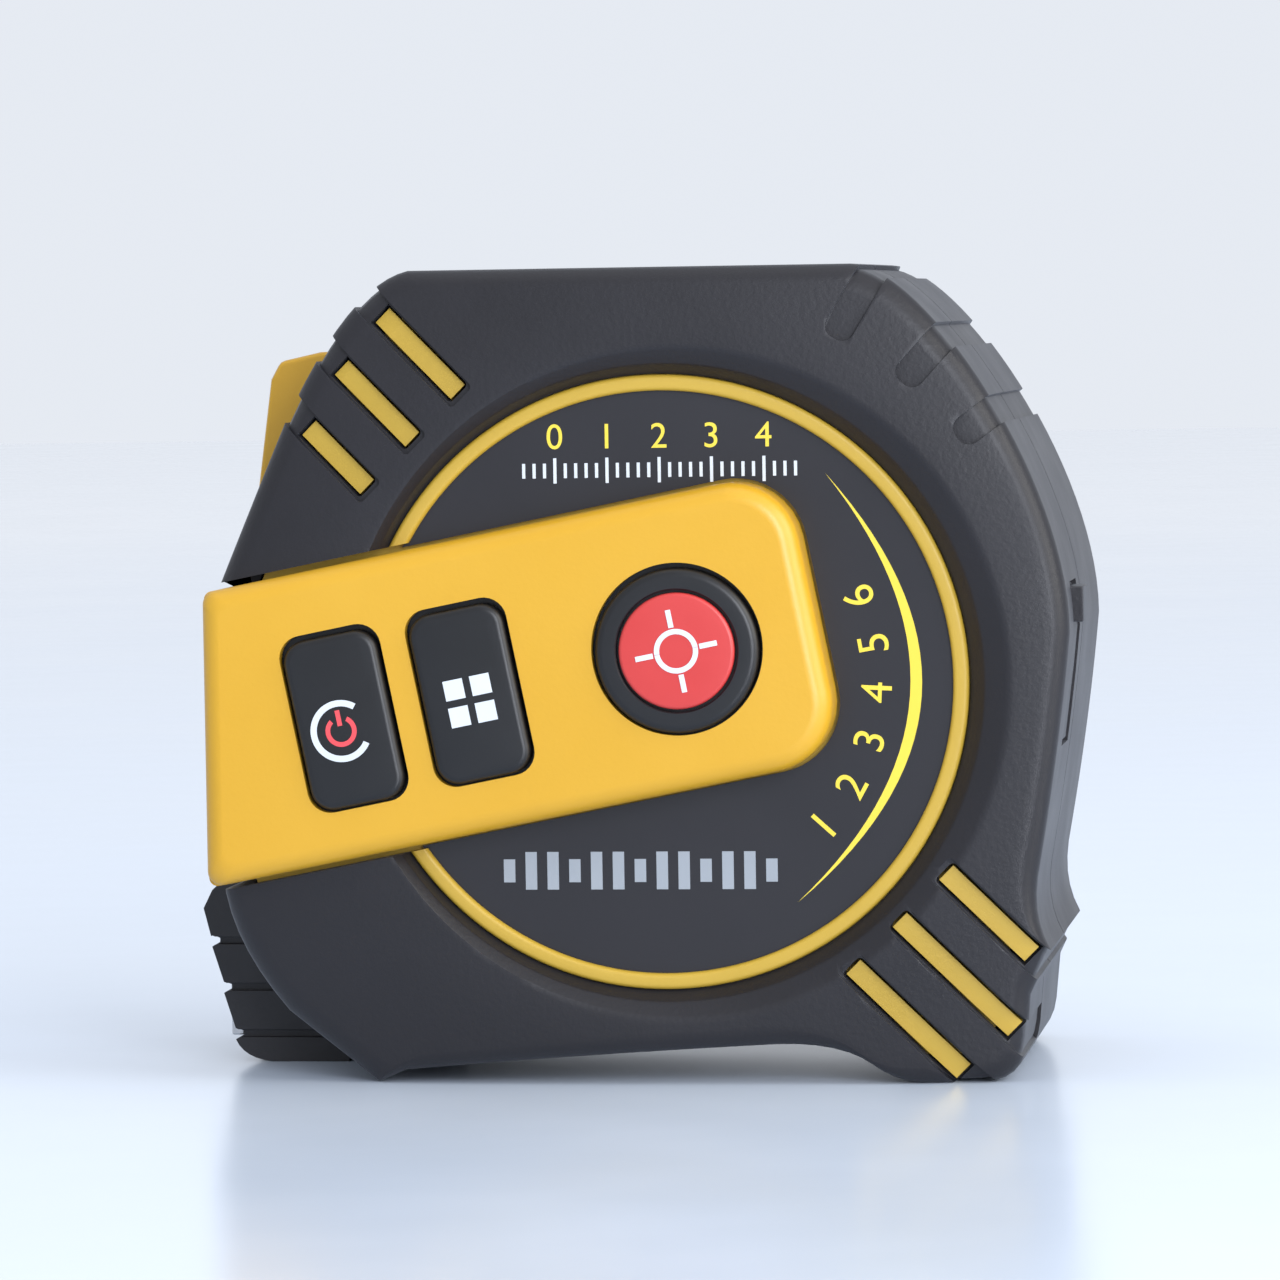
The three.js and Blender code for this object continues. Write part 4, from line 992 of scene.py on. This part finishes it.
# %% Nose guard with grooves round its sides
side_groove, side_groove_depth = 0.75, 0.55
nose_guard = copied("nose_guard")
nose_grooves = []
for groove_z in (12.0, 7.4, 2.8):
    low_z, high_z = groove_z - side_groove / 2, groove_z + side_groove / 2
    nose_grooves.append(block(nose_low.x - 1, nose_high.x + 1, nose_low.y - 1, nose_low.y + side_groove_depth,
                              low_z, high_z))
    nose_grooves.append(block(nose_low.x - 1, nose_high.x + 1, nose_high.y - side_groove_depth,
                              nose_high.y + 1, low_z, high_z))
combine(nose_guard, nose_grooves)
settle(nose_guard, 28, 0.25, dissolve=True)
publish(nose_guard, "nose_guard_finished", "case", "black_nylon", black_nylon, "nose_guard")

# %% [markdown]
# ## Screws
#
# The case screws sit in round holes on the tape side. Their heads have a pressed cross, and a head
# without one would look like a rivet.

# %% Screws with a cross recess
cross_long, cross_wide, cross_deep = 2.9, 0.75, 0.8
for screw_name in ["case_screw_%d" % number for number in (1, 2, 3, 4)] + ["clip_screw"]:
    screw_low, screw_high = box(screw_name)
    centre = (screw_low + screw_high) / 2
    half_long, half_wide = cross_long / 2, cross_wide / 2
    screw = combine(copied(screw_name), [
        block(centre.x - a, centre.x + a, screw_high.y - cross_deep, screw_high.y + 1,
              centre.z - b, centre.z + b)
        for a, b in ((half_long, half_wide), (half_wide, half_long))])
    settle(screw, 28, 0.12, dissolve=True)
    publish(screw, screw_name + "_finished", "case", "steel", plated_steel, screw_name)

# %% [markdown]
# ## Display
#
# The liquid-crystal cell shows dark bars on grey. A figure is made of seven such bars, and a nought
# lights six of them.

# %% Figures on the display
lcd_low, lcd_high = box("lcd_module")
figure_width, figure_height, bar_width = 3.0, 5.4, 0.6
figure_step, figure_count = 4.6, 4
lcd_bars = bmesh.new()


def lcd_bar(x, y, width, depth):
    """One dark bar that lies on the cell."""
    place = Matrix.Translation((x, y, lcd_high.z + 0.03)) @ Matrix.Diagonal((width, depth, 0.06, 1))
    bmesh.ops.create_cube(lcd_bars, size=1, matrix=place)


for place in range(figure_count):
    x = (lcd_low.x + lcd_high.x) / 2 + (place - (figure_count - 1) / 2) * figure_step
    y = (lcd_low.y + lcd_high.y) / 2
    for side in (-1, 1):
        lcd_bar(x, y + side * figure_height / 2, figure_width - 0.9, bar_width)
        for end in (-1, 1):
            lcd_bar(x + side * figure_width / 2, y + end * figure_height / 4, bar_width,
                    figure_height / 2 - 0.5)
    if place == 0:
        lcd_bar(x + figure_step / 2, y - figure_height / 2, bar_width, bar_width)
publish(as_object(lcd_bars, "bars"), "lcd_figures", "case", "label_film", black_ink)

# %% [markdown]
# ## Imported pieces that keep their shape
#
# Everything else is inside the case, or flat by nature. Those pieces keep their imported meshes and
# take their finish on their own material slots.

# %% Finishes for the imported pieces
tape_blade_low, tape_blade_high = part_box("tape_blade")
hook_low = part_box("end_hook")[0]
blade_lacquer = scaled_lacquer(hook_low.x, (tape_blade_low.y + tape_blade_high.y) / 2)
node_finishes = {
    # The shells' darker yellow is painted shade, on the ribs in their slots and on the shell seen in the
    # seams.
    shaded_shell_abs: ["control_shell", "tape_shell"],
    black_nylon: ["mid_frame", "spool", "lock_arm", "laser_module", "buzzer",
                  "power_switch", "function_switch", "measure_switch"],
    label_film: ["dial_label", "tape_side_label"],
    lcd_cell: ["lcd_module"],
    lens_glass: ["emitter_lens", "receiver_lens"],
    circuit_board: ["key_board", "main_board"],
    turned_brass: ["laser_barrel"],
    polyimide_film: ["flex_cable"],
    rolled_aluminium: ["battery"],
    plated_steel: ["hook_rivet_1", "hook_rivet_2", "usb_socket"],
    spring_steel: ["power_spring"],
    blade_lacquer: ["tape_blade", "tape_coil"],
}
for material, names in node_finishes.items():
    for name in names:
        for mesh_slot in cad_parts[name].material_slots:
            mesh_slot.material = material
print("packed pieces finished:", sum(len(names) for names in node_finishes.values()))

# %% [markdown]
# ## Print on the dial
#
# The dial's film carries a scale and a long yellow crescent. The crescent is two arcs of different
# radius that meet in two points. The scale is plain ticks and bars.

# %% Crescent and scale
label_face = label_low.y
dial = Vector((dial_x, dial_z))


def lens_outline(start, end, bulge_out, bulge_in, steps=30):
    """A crescent between two points, from two curves that bulge by different amounts."""
    chord = end - start
    side = Vector((chord.y, -chord.x)).normalized()
    out = [start + chord * t + side * (4 * bulge_out * t * (1 - t)) for t in
           (step / steps for step in range(steps + 1))]
    back_row = [start + chord * t + side * (4 * bulge_in * t * (1 - t)) for t in
                (step / steps for step in range(steps - 1, 0, -1))]
    return out + back_row


def upright_tick(x, z, height, width=0.3):
    """A tick that stands upright on the dial."""
    return [dial + Vector((x + a * width / 2, z + b * height / 2))
            for a, b in ((-1, -1), (1, -1), (1, 1), (-1, 1))]


crescent = lens_outline(dial + Vector((15.8, 19.7)), dial + Vector((12.6, -21.0)), -10.5, -9.4)
print_marks("dial_crescent", [crescent], label_face, "case", "label_film", yellow_ink)
print_marks("dial_rule", [upright_tick(x, 20.2, 1.4 if x % 5 else 2.4) for x in range(-13, 14)],
            label_face, "case", "label_film", white_ink)
print_marks("dial_bars", [upright_tick(-15 + 2.1 * k, -17.9, 3.6 if k % 3 else 2.2, 1.1) for k in range(13)],
            label_face, "case", "label_film", grey_ink)


# %% [markdown]
# ## Figures on the dial
#
# The figures are cut from Blender's own letter shapes. Each is made a mesh first and then turned and
# placed, so that its object stays at the origin. They count along the rule and beside the crescent.

# %% Dial numbers
def number(text, place, size, turn, face, name, body, slot, ink):
    """A figure as a thin plate, facing -Y, centred on a place."""
    data = bpy.data.curves.new(name, "FONT")
    data.body = text
    data.size = size / 1000
    data.extrude = ink_height / 2000
    data.align_x, data.align_y = "CENTER", "CENTER"
    thing = bpy.data.objects.new(name, data)
    bpy.context.collection.objects.link(thing)
    mesh = bpy.data.meshes.new_from_object(thing.evaluated_get(bpy.context.evaluated_depsgraph_get()))
    bpy.data.objects.remove(thing)
    mesh.transform(Matrix.Translation((place.x / 1000, (face - ink_height / 2) / 1000, place.y / 1000))
                   @ Matrix.Rotation(-turn, 4, "Y") @ Matrix.Rotation(math.pi / 2, 4, "X"))
    plate = bpy.data.objects.new(name, mesh)
    bpy.context.collection.objects.link(plate)
    return publish(plate, name, body, slot, ink)


for count in range(5):
    number(str(count), dial + Vector((-10 + 5 * count, 23.3)), 3.4, 0, label_face,
           "dial_figure_%d" % count, "case", "label_film", yellow_ink)
for count in range(6):
    angle = math.radians(-42 + 13 * count)
    number(str(count + 1), dial + Vector((math.cos(angle), math.sin(angle))) * 20.6, 4.2, angle + math.pi / 2,
           label_face, "crescent_figure_%d" % (count + 1), "case", "label_film", yellow_ink)

# %% [markdown]
# ## Scale on the tape side
#
# The other label has a ring of ticks, with a longer one at every thirty degrees. The belt clip covers
# the middle of it, and no tick is printed where the clip would hide it.

# %% Scale on the tape side
clip_low, clip_high = box("belt_clip")
rear_ticks = [bar_outline(angle, 0, 23.6 if angle % 30 else 22.0, 26.0, 0.4) for angle in range(0, 360, 6)]
rear_ticks = [tick for tick in rear_ticks if min(point.x for point in tick) > clip_high.x + 1
              or max(point.x for point in tick) < clip_low.x - 1]
print_marks("rear_scale", rear_ticks, rear_high.y, "case", "label_film", white_ink, towards=1)

# %% [markdown]
# ## Table
#
# The table is a pale lacquered board, large enough that its edge is never seen. Its colour is painted paler
# with distance, a painted reflection of the pale walls such as a long board shows under a soft light, so it
# has no hard line against the wall.

# %% Table
table_finish = finish("pale lacquered board", "d3dff0", "d8e3f3", 60, (0.18, 0.24), 3.0, 0.004, IOR=1.5)
board_tree = table_finish.node_tree
board_shader = board_tree.nodes["Principled BSDF"]
on_board = add(board_tree, "ShaderNodeTexCoord", {})
from_middle = add(board_tree, "ShaderNodeVectorMath", {0: on_board.outputs["Object"]}, operation="LENGTH")
# Painted light: the board's colour is mixed towards near white with distance, standing in for its grazing
# reflection of the pale walls.
paling = add(board_tree, "ShaderNodeMapRange",
             {"Value": from_middle.outputs["Value"], "From Min": 0.1, "From Max": 1.6})
near_colour = board_shader.inputs["Base Color"].links[0].from_socket
painted_far_light = add(board_tree, "ShaderNodeMix", {0: paling.outputs[0], 6: near_colour, 7: linear("f6f8fb")},
           data_type="RGBA")
board_tree.links.new(painted_far_light.outputs[2], board_shader.inputs["Base Color"])
table_half = 3000
table_bm = bmesh.new()
bmesh.ops.create_grid(table_bm, x_segments=2, y_segments=2, size=table_half)
table = as_object(table_bm, "table")
table.data.materials.append(table_finish)
print("table across, in metres:", round(table.dimensions.x, 1))
